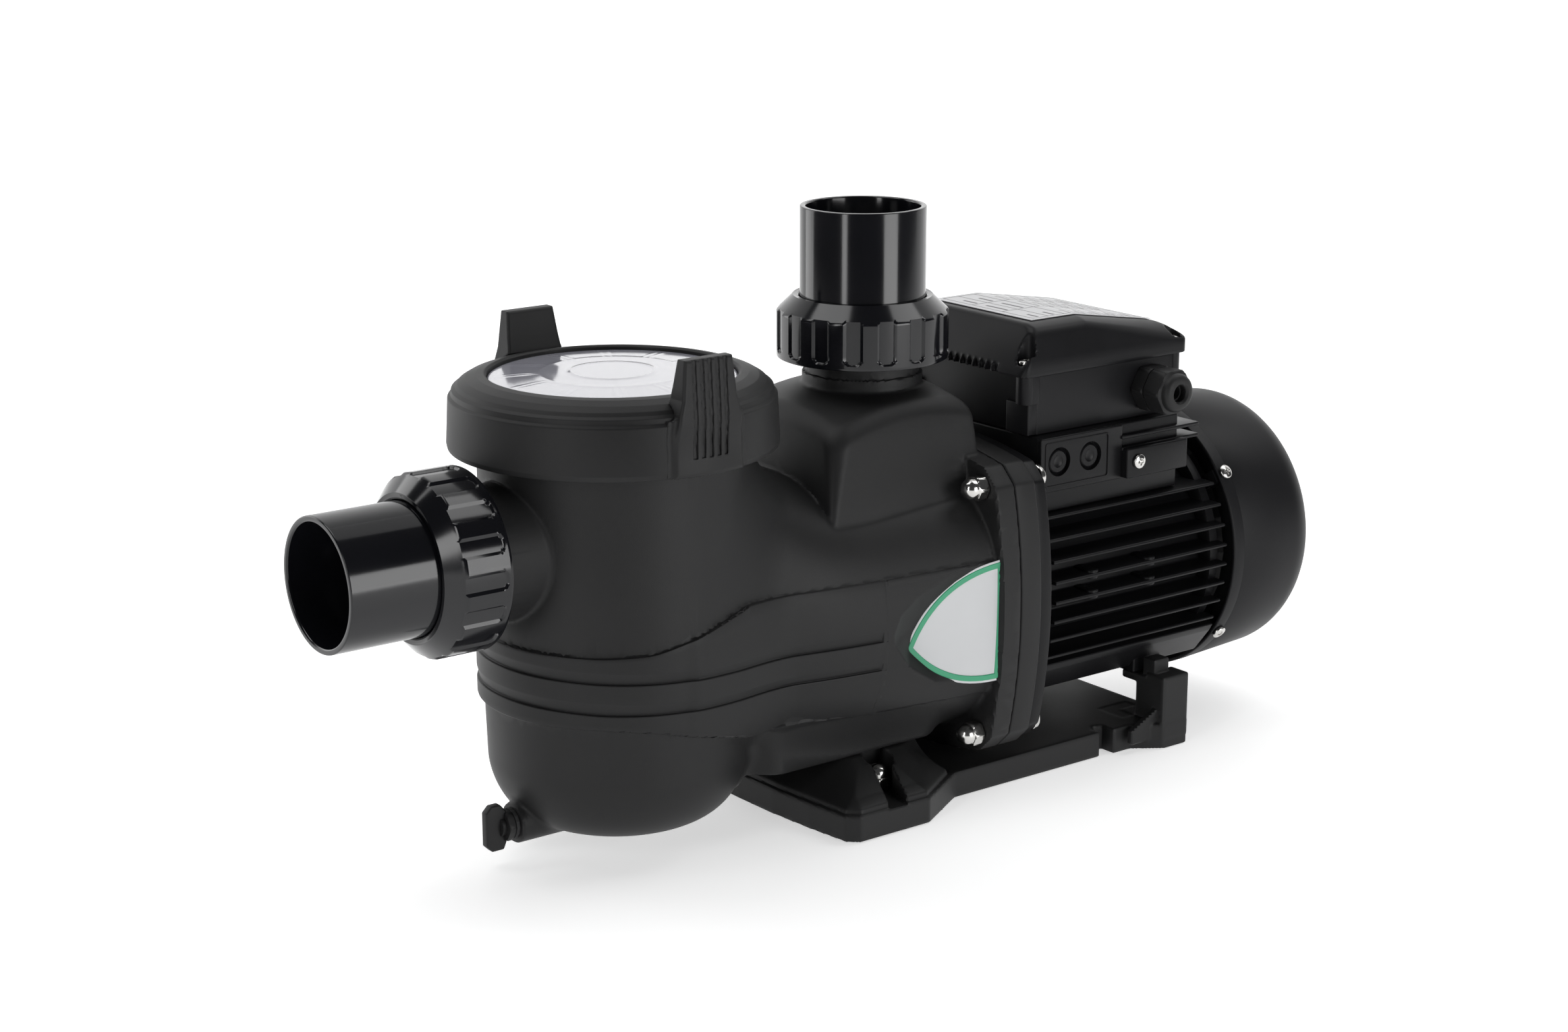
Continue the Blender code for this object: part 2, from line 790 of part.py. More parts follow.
def housing_outline():
    """Half of the frame's cross section from bottom to top, (y, height above the shaft)."""
    half = [(0, -69), (36, -67), (58, -61), (70, -46), (72.5, -41.5)]
    for step in reversed(range(FIN_COUNT)):
        middle = FIN_TOP - FIN_PITCH * step
        for edge, reach in ((-1, CORE_RADIUS), (-1, FIN_RADIUS), (1, FIN_RADIUS), (1, CORE_RADIUS)):
            z = middle + edge * FIN_THICKNESS / 2
            half.append((math.sqrt(reach * reach - middle * middle), z))
    half += [(42, 52), (30, 62), (0, 66)]
    return half


def build_motor():
    shaft = at(0, 0, SHAFT_Z, "X")
    shield = prism("motor_flange", flange_outline(1.5), SHIELD_FRONT, SHIELD_BACK, PAINT, shaft)
    join(shield, rod("spigot", BORE_RADIUS - GAP, SHIELD_FRONT + 2, 76.0, place=shaft))
    cut(shield, rod("bore", 12.0, 40, 90, place=shaft), rod("seat", 26.3, 64.0, 90, place=shaft))
    cut(shield, bolt_holes("shield"))

    half = housing_outline()
    outline = half + [(-y, z) for y, z in reversed(half[1:-1])]
    sections = []
    for x in (HOUSING_FRONT, HOUSING_BACK):
        sections.append([(x, y, SHAFT_Z + z) for y, z in outline])
    housing = lofted("motor_housing", sections, PAINT)
    front_clear = block("front", (60.0, -95.0, 10.0), (75.5, 95.0, 190.0))
    core = rod("core", CORE_RADIUS - 1, 50.0, 90.0, place=shaft)
    cut(front_clear, core)
    cut(housing, front_clear)
    platform = block("platform", (76.0, -63.5, 150), (186.0, 63.5, BOX_BOTTOM - GAP))
    panel = block("panel", (76.0, -66.0, 164), (139.0, -50.0, BOX_BOTTOM - GAP))
    lug = block("lug", (138.0, -71.0, 164.5), (187.0, -50.0, 182.0))
    lug_back = block("lug", (138.0, 50.0, 164.5), (187.0, 71.0, 182.0))
    shelf = block("shelf", (138.0, -67.0, 187.0), (200.0, 67.0, 189.4))
    join(housing, platform, panel, lug, lug_back, shelf)
    feet = []
    for sign in (-1, 1):
        low_y, high_y = sorted((sign * 46.0, sign * 62.0))
        feet.append(block("foot", (158.0, low_y, REST_TOP + GAP), (180.0, high_y, 62.0)))
    join(housing, *feet)
    bore = rod("bore", BORE_RADIUS, 40.0, 230.0, place=shaft, segments=36)
    wires = rod("wires", 14.0, 150.0, 200.0, place=at(110, 0, 0))
    knockouts = []
    for x in (90.0, 114.0):
        knockouts.append(rod("knockout", 8.5, 64.0, 70.0, place=at(x, 0, 181.0, "-Y"), segments=24))
    earth = rod("earth", 2.3, 60.0, 80.0, place=at(147.0, 0, 174.0, "-Y"), segments=12)
    cut(housing, bore, wires, merged("knockouts", knockouts), earth)
    pan_screw("earth_screw", 9.0, 4.4, 2.0, at(147.0, -71.0 - GAP, 174.0, "-Y"))

    turned(
        "stator",
        [(34.8, 88), (44, 80), (56, 80), (60.2, 92), (60.2, 180), (56, 192), (44, 192), (34.8, 184)],
        COPPER,
        shaft,
    )
    ring("rotor_core", 12.3, 33.8, 94, 178, IRON, shaft)
    turned(
        "rotor_shaft",
        [
            (0, 2),
            (6, 2),
            (6, 26),
            (7, 26),
            (7, 52),
            (10, 66),
            (10, 90),
            (12, 92),
            (12, 182),
            (8, 190),
            (8, 262),
            (0, 262),
        ],
        IRON,
        shaft,
        segments=16,
    )
    ring("front_bearing", 10.6, 25.6, 66.5, 80.0, IRON, shaft, segments=20)
    ring("rear_bearing", 8.5, 19.8, 212.0, 224.0, IRON, shaft, segments=20)
    build_rear(shaft)


def cover_screw_places():
    for side in (-1, 1):
        for height in (1, -1):
            label = ("front", "back")[side > 0] + ("_lower", "_upper")[height > 0]
            turn = math.radians(COVER_SCREW_ANGLE) * height
            direction = Vector((0, side * math.cos(turn), math.sin(turn)))
            yield label, direction


def radial(direction, x):
    """The place of a shape whose own Z points out from the shaft axis in a direction."""
    turn = direction.to_track_quat("Z", "X").to_matrix().to_4x4()
    return Matrix.Translation(Vector(mm((x, 0, SHAFT_Z)))) @ turn


def build_rear(shaft):
    rear = turned(
        "rear_shield",
        [
            (9.0, 226.0),
            (24.0, 230.0),
            (30.0, 222.0),
            (CORE_RADIUS, 222.0),
            (CORE_RADIUS + 2.0, 225.5),
            (COVER_RADIUS - COVER_WALL - 1.5, 225.5),
            (COVER_RADIUS - COVER_WALL - 1.5, 223.0),
            (CORE_RADIUS + 3.0, 223.0),
            (CORE_RADIUS, 220.0),
            (CORE_RADIUS, HOUSING_BACK + GAP),
            (20.3, HOUSING_BACK + GAP),
            (20.3, 224.3),
            (9.0, 224.3),
        ],
        PAINT,
        shaft,
    )
    cover = turned(
        "fan_cover",
        [
            (COVER_RADIUS - COVER_WALL, COVER_FRONT),
            (COVER_RADIUS, COVER_FRONT),
            (80.8, 272.4),
            (77.5, 285.5),
            (69.0, 292.8),
            (62.9, COVER_BACK),
            (0, COVER_BACK),
            (0, COVER_BACK - COVER_WALL),
            (62.0, COVER_BACK - COVER_WALL),
            (75.8, 284.6),
            (79.0, 272.0),
        ],
        SATIN,
        shaft,
        segments=36,
    )
    arms = []
    holes = []
    for label, direction in cover_screw_places():
        place = radial(direction, 222.5)
        arm = block("arm", (-4.0, -6.0, 60.0), (4.0, 6.0, 80.6))
        arm.matrix_world = place
        arms.append(arm)
        holes.append(rod("hole", 2.3, 68.0, 95.0, place=place, segments=12))
    join(rear, *arms)
    cut(rear, merged("rear_holes", holes))
    holes = []
    for label, direction in cover_screw_places():
        place = radial(direction, 222.5)
        holes.append(rod("hole", 2.3, 68.0, 95.0, place=place, segments=12))
        lift = Matrix.Translation((0, 0, mm(COVER_RADIUS + GAP)))
        pan_screw(f"cover_screw_{label}", 11.0, 4.3, 2.0, place @ lift)
    grille = []
    for step in range(GRILLE_SLOTS):
        turn = Matrix.Rotation(2 * math.pi * (step + 0.5) / GRILLE_SLOTS, 4, "Z")
        outline = [(22, -3.0), (58, -7.0), (58, 7.0), (22, 3.0)]
        grille.append(prism("slot", outline, 284, 300, place=shaft @ turn))
    cut(cover, merged("cover_holes", holes), merged("grille", grille))

    fan = ring("fan", 8.3, 16.0, 236, 258, NORYL, shaft, segments=24)
    join(fan, ring("disc", 12.0, 60.0, 236, 238.4, place=shaft))
    blades = []
    for step in range(8):
        turn = Matrix.Rotation(2 * math.pi * step / 8, 4, "Z")
        outline = [(14, -1.1), (66, -1.1), (66, 1.1), (14, 1.1)]
        blades.append(prism("blade", outline, 237, 256, place=shaft @ turn))
    join(fan, merged("blades", blades))


# --------------------------------------------------------- terminal box


def build_terminal_box():
    outline = rounded_box_outline(BOX_FRONT, BOX_BACK, -BOX_HALF, BOX_HALF, 5)
    inner = rounded_box_outline(BOX_FRONT + 3, BOX_BACK - 3, 3 - BOX_HALF, BOX_HALF - 3, 3)
    box = prism("terminal_box", outline, BOX_BOTTOM, BOX_TOP, SATIN)
    pockets = prism("inside", inner, BOX_BOTTOM + 3, BOX_TOP + 10)
    cut(box, pockets)
    corners = []
    for x, y in lid_screw_places():
        corners.append(rod("post", 4.8, 214.0, BOX_TOP - GAP, place=at(x, y, 0), segments=12))
    join(box, merged("posts", corners), solver="MANIFOLD")
    wires = rod("wires", 12.0, 190.0, 205.0, place=at(110, 0, 0))
    entry = rod("entry", 8.3, 40.0, 70.0, place=at(166.5, 0, 213, "-Y"), segments=24)
    screws = []
    for x, y in lid_screw_places():
        screws.append(rod("screw", 2.2, 218.0, 240.0, place=at(x, y, 0), segments=8))
    cut(box, wires, entry, merged("screw_holes", screws), solver="MANIFOLD")


SCREW_SEAT = 236.6


def lid_sections(inset=0.0):
    """Sections along X of the terminal lid, which slopes down to its motor end."""
    stages = [
        (67.2 + inset, 234.0, 57.0, 233.6, 58.4, 233.0, 59.0),
        (70.0 + inset, 237.2, 55.8, 236.6, 57.4, 235.0, 60.0),
        (81.0 + inset, 258.0, 49.0, 252.5, 54.5, 236.0, 60.0),
        (121.0, 258.0, 49.0, 252.5, 54.5, 236.0, 60.0),
        (186.0 - inset, 247.5, 49.0, 243.0, 54.5, 236.0, 60.0),
        (195.5 - inset, 239.5, 48.5, 237.5, 53.0, 234.5, 59.0),
    ]
    foot = BOX_TOP + GAP if inset == 0 else BOX_TOP - 5.0
    sections = []
    for x, top, half_top, shoulder, half_shoulder, rim, half in stages:
        side = [(half, foot), (half, rim), (half_shoulder, shoulder), (half_top, top)]
        side = [(y - inset, z if z == foot else z - inset) for y, z in side]
        section = [(x, -y, z) for y, z in side] + [(x, y, z) for y, z in reversed(side)]
        sections.append(section)
    return sections


def build_terminal_lid():
    lid = lofted("terminal_lid", lid_sections(), SATIN)
    inside = lofted("inside", lid_sections(2.6))
    cut(lid, inside)
    bosses = []
    for x, y in lid_screw_places():
        bosses.append(rod("boss", 4.6, BOX_TOP + GAP, SCREW_SEAT + 1, place=at(x, y, 0), segments=10))
    join(lid, merged("bosses", bosses), solver="MANIFOLD")
    notches = []
    holes = []
    for x, y in lid_screw_places():
        notches.append(rod("notch", 5.2, SCREW_SEAT, 262.0, place=at(x, y, 0), segments=10))
        holes.append(rod("hole", 2.4, 220.0, 262.0, place=at(x, y, 0), segments=8))
    cut(lid, merged("notches", notches), merged("holes", holes), solver="MANIFOLD")
    for index, (x, y) in enumerate(lid_screw_places()):
        pan_screw(f"lid_screw_{index + 1}", 14.0, 3.8, 1.8, at(x, y, SCREW_SEAT + GAP))
    label = []
    for x, z in ((88.0, 258.0), (121.0, 258.0), (182.0, 248.15)):
        label.append([(x, -42.0, z + GAP), (x, 42.0, z + GAP), (x, 42.0, z + 0.7), (x, -42.0, z + 0.7)])
    lofted("rating_label", label, LABEL)


def lid_screw_places():
    for x in (BOX_FRONT + 1, BOX_BACK - 1):
        for y in (4.0 - BOX_HALF, BOX_HALF - 4.0):
            yield x, y


def build_electrics():
    block("terminal_block", (84, 18, 199.5), (128, 44, 216), PALE)
    rod("capacitor", 16.0, 92.0, 170.0, PALE, at(0, -30.0, 217.0, "X"))
    gland = at(166.5, -BOX_HALF - GAP, 213, "-Y")
    body = prism("gland_body", hexagon(25.0), 0.0, 9.0, PLASTIC, gland)
    join(body, rod("thread", 8.0, -6.0, 4.0, place=gland, segments=16))
    join(body, rod("thread", 9.8, 4.0, 17.0, place=gland, segments=16))
    cut(body, rod("bore", 5.0, -10.0, 30.0, place=gland, segments=16))
    nut = prism("gland_nut", hexagon(25.0), 9.0 + GAP, 22.0, PLASTIC, gland)
    dome = [(0, 20), (11.4, 20), (11.4, 22.5), (8.5, 27.0), (0, 27.0)]
    join(nut, turned("dome", dome, place=gland, segments=18))
    cut(nut, rod("bore", 10.4, 5.0, 22.0, place=gland, segments=20))
    cut(nut, rod("mouth", 5.0, 15.0, 40.0, place=gland, segments=16))
    ring("gland_seal", 4.2, 8.6, 17.4, 21.6, RUBBER, gland, segments=16)


build_pump_body()
build_badge()
build_union("suction", SUCTION_NUT_X, SUCTION_Z, "-X")
build_union("discharge", 0.0, DISCHARGE_NUT_Z, "Z")
build_lid()
build_basket()
build_basket_handle()
build_drain_plug()
build_base()
build_foot_bolts()
build_flange_bolts()
build_hydraulics()
build_motor()
build_terminal_box()
build_terminal_lid()
build_electrics()
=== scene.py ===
"""Looks of the pool pump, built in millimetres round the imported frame."""

import math

import bpy
import numpy as np
from mathutils import Matrix, Vector
from mathutils.geometry import tessellate_polygon


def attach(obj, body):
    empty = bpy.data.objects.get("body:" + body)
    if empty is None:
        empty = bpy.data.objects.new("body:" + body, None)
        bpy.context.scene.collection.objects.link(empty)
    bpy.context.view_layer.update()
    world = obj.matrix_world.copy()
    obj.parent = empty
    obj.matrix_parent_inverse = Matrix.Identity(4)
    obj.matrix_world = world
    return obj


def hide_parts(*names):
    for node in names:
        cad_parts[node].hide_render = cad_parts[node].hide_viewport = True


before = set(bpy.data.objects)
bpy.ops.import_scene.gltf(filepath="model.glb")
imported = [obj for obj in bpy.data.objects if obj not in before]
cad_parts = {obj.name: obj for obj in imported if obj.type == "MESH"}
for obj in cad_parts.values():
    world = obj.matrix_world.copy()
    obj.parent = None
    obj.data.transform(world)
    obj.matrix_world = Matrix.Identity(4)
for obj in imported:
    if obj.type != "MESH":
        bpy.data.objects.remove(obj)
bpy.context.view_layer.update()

MM = 0.001
SHAFT_Z = 106.0
POT_X = -166.9
SUCTION_Z = 169.9
DRAIN_Z = 20.5
BLOCK = 8

AXES = {
    "X": ((0, 1, 0), (0, 0, 1), (1, 0, 0)),
    "-X": ((0, -1, 0), (0, 0, 1), (-1, 0, 0)),
    "Y": ((-1, 0, 0), (0, 0, 1), (0, 1, 0)),
    "-Y": ((1, 0, 0), (0, 0, 1), (0, -1, 0)),
    "Z": ((1, 0, 0), (0, 1, 0), (0, 0, 1)),
    "-Z": ((1, 0, 0), (0, -1, 0), (0, 0, -1)),
}


# ------------------------------------------------------------ mesh helpers


def at(x, y, z, axis="Z"):
    """The place, in millimetres, of a shape whose own Z points along a world axis."""
    place = Matrix(AXES[axis]).transposed().to_4x4()
    place.translation = (x, y, z)
    return place


def moved(shape, place):
    points, faces = shape
    matrix = np.array(place)
    return points @ matrix[:3, :3].T + matrix[:3, 3], faces


def together(*shapes):
    points, faces, start = [], [], 0
    for some_points, some_faces in shapes:
        points.append(some_points)
        faces += [tuple(int(i) + start for i in face) for face in some_faces]
        start += len(some_points)
    return np.concatenate(points), faces


def area_of(outline):
    x, y = np.array(outline, float).T
    return float(np.dot(x, np.roll(y, -1)) - np.dot(y, np.roll(x, -1))) / 2


def fillet(outline, radius, steps=5, closed=True):
    """The outline with its corners rounded. A point may carry its own radius as a third number."""
    count = len(outline)
    rounded = []
    for index, corner in enumerate(outline):
        here = np.array(corner[:2], float)
        size = corner[2] if len(corner) > 2 else radius
        if size <= 0 or (not closed and index in (0, count - 1)):
            rounded.append(tuple(here))
            continue
        before = np.array(outline[index - 1][:2], float) - here
        after = np.array(outline[(index + 1) % count][:2], float) - here
        length_before, length_after = np.linalg.norm(before), np.linalg.norm(after)
        if min(length_before, length_after) < 1e-6:
            continue
        before, after = before / length_before, after / length_after
        opening = math.acos(max(-1.0, min(1.0, float(before @ after))))
        if opening > math.pi - 0.02 or opening < 0.02:
            rounded.append(tuple(here))
            continue
        reach = min(size / math.tan(opening / 2), 0.49 * min(length_before, length_after))
        size = reach * math.tan(opening / 2)
        middle = here + (before + after) / np.linalg.norm(before + after) * size / math.sin(opening / 2)
        first, last = here + before * reach - middle, here + after * reach - middle
        turn = math.atan2(first[0] * last[1] - first[1] * last[0], float(first @ last))
        for step in range(steps + 1):
            angle = turn * step / steps
            cos, sin = math.cos(angle), math.sin(angle)
            spot = middle + (first[0] * cos - first[1] * sin, first[0] * sin + first[1] * cos)
            rounded.append(tuple(spot))
    return rounded


def lathe(profile, segments=96, place=None, start=0.0):
    """Turns (radius, height) points round Z. A profile that starts and ends on the axis is closed there."""
    if area_of(profile) < 0:
        profile = profile[::-1]
    open_ends = profile[0][0] < 1e-6 and profile[-1][0] < 1e-6
    angles = start + np.arange(segments) * 2 * math.pi / segments
    points, rows = [], []
    for radius, height in profile:
        if radius < 1e-6:
            rows.append([len(points)] * segments)
            points.append((0.0, 0.0, height))
            continue
        rows.append(list(range(len(points), len(points) + segments)))
        points += [(radius * math.cos(a), radius * math.sin(a), height) for a in angles]
    faces = []
    count = len(rows)
    for index in range(count - 1 if open_ends else count):
        lower, upper = rows[index], rows[(index + 1) % count]
        for step in range(segments):
            after = (step + 1) % segments
            face = [lower[step], lower[after], upper[after], upper[step]]
            unique = list(dict.fromkeys(face))
            if len(unique) > 2:
                faces.append(tuple(unique))
    shape = np.array(points), faces
    return moved(shape, place) if place else shape


def inset(outline, distance):
    """The outline moved inwards along its corners' bisectors."""
    points = np.array([p[:2] for p in outline], float)
    ahead = np.roll(points, -1, axis=0) - points
    ahead /= np.linalg.norm(ahead, axis=1)[:, None]
    behind = np.roll(ahead, 1, axis=0)
    out_ahead = np.stack([ahead[:, 1], -ahead[:, 0]], 1)
    out_behind = np.stack([behind[:, 1], -behind[:, 0]], 1)
    bisector = out_ahead + out_behind
    length = np.maximum(np.linalg.norm(bisector, axis=1), 0.3)
    bisector /= length[:, None]
    share = np.maximum((bisector * out_ahead).sum(1), 0.35)
    return points - bisector * (distance / share)[:, None]


def prism(outline, low, high, radius=0.6, place=None, steps=3, low_radius=None):
    """A solid between two heights, with its end edges rounded."""
    if area_of([p[:2] for p in outline]) < 0:
        outline = outline[::-1]
    low_radius = radius if low_radius is None else low_radius
    levels = []
    for size, edge, sign in ((low_radius, low, 1), (radius, high, -1)):
        rim = []
        for step in range(steps + 1):
            angle = math.pi / 2 * step / steps
            rim.append((size * (1 - math.sin(angle)), edge + sign * size * (1 - math.cos(angle))))
        levels += rim if sign > 0 else rim[::-1]
    points, count = [], len(outline)
    for distance, height in levels:
        level = inset(outline, distance)
        points.append(np.column_stack([level, np.full(count, height)]))
    faces = [tuple(range(count))[::-1]]
    for row in range(len(levels) - 1):
        for index in range(count):
            after = (index + 1) % count
            low_left, low_right = row * count + index, row * count + after
            faces.append((low_left, low_right, low_right + count, low_left + count))
    top = (len(levels) - 1) * count
    faces.append(tuple(range(top, top + count)))
    shape = np.concatenate(points), faces
    return moved(shape, place) if place else shape


def rectangle(x0, y0, x1, y1):
    return [(x0, y0), (x1, y0), (x1, y1), (x0, y1)]


def brick(low, high, radius=0.8):
    (x0, y0, z0), (x1, y1, z1) = low, high
    outline = fillet(rectangle(x0, y0, x1, y1), radius, 3)
    return prism(outline, z0, z1, radius)


def skin(rows, closed_round=True, caps=True):
    """Quads between rows of points, each row the same length."""
    count = len(rows[0])
    faces = []
    for row in range(len(rows) - 1):
        for index in range(count if closed_round else count - 1):
            after = (index + 1) % count
            a, b = row * count + index, row * count + after
            faces.append((a, b, b + count, a + count))
    if caps:
        faces.append(tuple(range(count))[::-1])
        last = (len(rows) - 1) * count
        faces.append(tuple(range(last, last + count)))
    return np.concatenate([np.array(row, float) for row in rows]), faces


# --------------------------------------------------- solids from distances


def join(a, b, radius=0.0):
    """Union of two distance fields, with a fillet of this radius, which may vary from place to place."""
    if np.max(radius) <= 0:
        return np.minimum(a, b)
    reach = np.sqrt(np.maximum(radius - a, 0) ** 2 + np.maximum(radius - b, 0) ** 2)
    return np.maximum(radius, np.minimum(a, b)) - reach


def both(a, b, radius=0.0):
    return -join(-a, -b, radius)


def cut(a, b, radius=0.0):
    return -join(-a, b, radius)


def span(value, low, high):
    return np.maximum(low - value, value - high)


def box(x, y, z, low, high, radius=0.0):
    sides = both(span(x, low[0], high[0]), span(y, low[1], high[1]), radius)
    return both(sides, span(z, low[2], high[2]), radius)


def rounded_rectangle(u, v, half_u, half_v, radius):
    side_u, side_v = np.abs(u) - half_u + radius, np.abs(v) - half_v + radius
    outside = np.sqrt(np.maximum(side_u, 0) ** 2 + np.maximum(side_v, 0) ** 2)
    return outside + np.minimum(np.maximum(side_u, side_v), 0) - radius


def outline_distance(u, v, outline):
    """Signed distance to a closed outline, negative inside."""
    u, v = np.broadcast_arrays(np.asarray(u, float), np.asarray(v, float))
    nearest = np.full(u.shape, 1e9)
    inside = np.zeros(u.shape, bool)
    count = len(outline)
    for index in range(count):
        ax, ay = outline[index][:2]
        bx, by = outline[(index + 1) % count][:2]
        dx, dy = bx - ax, by - ay
        length = dx * dx + dy * dy
        if length < 1e-12:
            continue
        share = np.clip(((u - ax) * dx + (v - ay) * dy) / length, 0, 1)
        nearest = np.minimum(nearest, (u - ax - share * dx) ** 2 + (v - ay - share * dy) ** 2)
        if ay != by:
            crosses = ((ay > v) != (by > v)) & (u < (v - ay) * dx / dy + ax)
            inside ^= crosses
    distance = np.sqrt(nearest)
    return np.where(inside, -distance, distance)


def tabled(outline, step=0.25, margin=24.0):
    """A fast lookup of an outline's signed distance."""
    spots = np.array([p[:2] for p in outline], float)
    low = spots.min(0) - margin
    counts = np.ceil((spots.max(0) + margin - low) / step).astype(int) + 1
    us = low[0] + np.arange(counts[0]) * step
    vs = low[1] + np.arange(counts[1]) * step
    table = outline_distance(us[:, None], vs[None, :], outline)

    def look(u, v):
        fu = np.clip((u - low[0]) / step, 0, counts[0] - 1.001)
        fv = np.clip((v - low[1]) / step, 0, counts[1] - 1.001)
        iu, iv = fu.astype(int), fv.astype(int)
        fu, fv = fu - iu, fv - iv
        below = table[iu, iv] * (1 - fu) + table[iu + 1, iv] * fu
        above = table[iu, iv + 1] * (1 - fu) + table[iu + 1, iv + 1] * fu
        return below * (1 - fv) + above * fv

    return look


CORNERS = np.array([(i, j, k) for i in (0, 1) for j in (0, 1) for k in (0, 1)])
CUBE_EDGES = [(a, b) for a in range(8) for b in range(a + 1, 8) if np.abs(CORNERS[a] - CORNERS[b]).sum() == 1]


def surface(field, low, high, step, rounds=4):
    """A smooth quad mesh where the field is 0: one point in each crossed cell, moved onto the surface."""
    low, high = np.array(low, float), np.array(high, float)
    size = BLOCK * step
    counts = np.maximum(np.ceil((high - low) / size).astype(int), 1)
    grid = np.stack(np.meshgrid(*[np.arange(n) for n in counts], indexing="ij"), -1).reshape(-1, 3)
    centres = low + (grid + 0.5) * size
    near = np.abs(field(*centres.T)) < 1.5 * size
    blocks = grid[near]
    width = counts * BLOCK + 4
    lattice = np.arange(BLOCK + 1)
    keys, spots, edges = [], [], [[], [], []]
    for start in range(0, len(blocks), 1200):
        some = blocks[start : start + 1200] * BLOCK
        gx = (some[:, 0, None] + lattice)[:, :, None, None]
        gy = (some[:, 1, None] + lattice)[:, None, :, None]
        gz = (some[:, 2, None] + lattice)[:, None, None, :]
        values = field(low[0] + gx * step, low[1] + gy * step, low[2] + gz * step)
        values = np.broadcast_to(values, (len(some),) + (BLOCK + 1,) * 3)
        inside = values < 0
        total = np.zeros((len(some),) + (BLOCK,) * 3, np.int8)
        for i, j, k in CORNERS:
            total += inside[:, i : i + BLOCK, j : j + BLOCK, k : k + BLOCK]
        b, i, j, k = np.nonzero((total > 0) & (total < 8))
        corner_values = np.stack([values[b, i + a, j + c, k + d] for a, c, d in CORNERS], 1)
        cell = some[b] + np.stack([i, j, k], 1)
        sums, hits = np.zeros((len(b), 3)), np.zeros(len(b))
        for first, last in CUBE_EDGES:
            va, vb = corner_values[:, first], corner_values[:, last]
            crossed = (va < 0) != (vb < 0)
            share = np.where(crossed, va / np.where(crossed, va - vb, 1), 0)
            spot = CORNERS[first] + share[:, None] * (CORNERS[last] - CORNERS[first])
            sums += spot * crossed[:, None]
            hits += crossed
        spots.append(cell + sums / hits[:, None])
        keys.append(((cell[:, 0] + 2) * width[1] + cell[:, 1] + 2) * width[2] + cell[:, 2] + 2)
        own = inside[:, :BLOCK, :BLOCK, :BLOCK]
        for axis in range(3):
            shift = [slice(0, BLOCK)] * 3
            shift[axis] = slice(1, BLOCK + 1)
            change = own != inside[(slice(None), *shift)]
            b, i, j, k = np.nonzero(change)
            edges[axis].append(np.column_stack([some[b] + np.stack([i, j, k], 1), own[b, i, j, k]]))
    keys, points = np.concatenate(keys), low + np.concatenate(spots) * step
    order = np.argsort(keys)
    keys, points = keys[order], points[order]
    quads = []
    for axis in range(3):
        found = np.concatenate(edges[axis])
        spot, outward = found[:, :3], found[:, 3].astype(bool)
        b, c = (axis + 1) % 3, (axis + 2) % 3
        corners = []
        for back_b, back_c in ((1, 1), (0, 1), (0, 0), (1, 0)):
            cell = spot.copy()
            cell[:, b] -= back_b
            cell[:, c] -= back_c
            corners.append(((cell[:, 0] + 2) * width[1] + cell[:, 1] + 2) * width[2] + cell[:, 2] + 2)
        wanted = np.stack(corners, 1)
        index = np.minimum(np.searchsorted(keys, wanted), len(keys) - 1)
        good = (keys[index] == wanted).all(1)
        index, outward = index[good], outward[good]
        quads.append(np.where(outward[:, None], index, index[:, ::-1]))
    quads = np.concatenate(quads)
    ends = np.concatenate([quads[:, [0, 1]], quads[:, [1, 2]], quads[:, [2, 3]], quads[:, [3, 0]]])
    near_count = np.bincount(ends.ravel(), minlength=len(points))
    for turn in range(rounds):
        if turn < rounds - 1:
            average = np.empty_like(points)
            for axis in range(3):
                pulled = np.bincount(ends[:, 0], points[ends[:, 1], axis], len(points))
                pulled += np.bincount(ends[:, 1], points[ends[:, 0], axis], len(points))
                average[:, axis] = pulled / np.maximum(near_count, 1)
            points = points * 0.45 + average * 0.55
        for _ in range(2):
            value = field(*points.T)
            slope = np.empty_like(points)
            for axis in range(3):
                step_to = np.zeros(3)
                step_to[axis] = 0.04
                ahead, behind = points + step_to, points - step_to
                slope[:, axis] = (field(*ahead.T) - field(*behind.T)) / 0.08
            steep = np.maximum((slope**2).sum(1), 0.1)
            move = slope * np.clip(value / steep, -0.7 * step, 0.7 * step)[:, None]
            points = points - move
    return points, quads.tolist()


# ----------------------------------------------------------------- pieces


def piece(name, parts, body, replaces=(), sharp=32.0, keep=1.0):
    """One object from (shape, material) pairs, in metres, riding on a body."""
    shapes = [shape for shape, _ in parts]
    points, faces = together(*shapes) if len(shapes) > 1 else shapes[0]
    mesh = bpy.data.meshes.new(name)
    mesh.from_pydata((np.asarray(points) * MM).tolist(), [], [tuple(f) for f in faces])
    materials = []
    indices = []
    for shape, material in parts:
        if material not in materials:
            materials.append(material)
            mesh.materials.append(material)
        indices += [materials.index(material)] * len(shape[1])
    mesh.polygons.foreach_set("material_index", indices)
    mesh.update()
    obj = bpy.data.objects.new(name, mesh)
    bpy.context.scene.collection.objects.link(obj)
    if keep < 1.0:
        thin = obj.modifiers.new("thin", "DECIMATE")
        thin.ratio = keep
        bpy.context.view_layer.update()
        graph = bpy.context.evaluated_depsgraph_get()
        lighter = bpy.data.meshes.new_from_object(obj.evaluated_get(graph))
        obj.modifiers.clear()
        obj.data = lighter
        bpy.data.meshes.remove(mesh)
        lighter.name = name
    obj.data.shade_smooth()
    if sharp:
        obj.data.set_sharp_from_angle(angle=math.radians(sharp))
    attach(obj, body)
    if replaces:
        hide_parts(*replaces)
    return obj


# --------------------------------------------------------------- materials


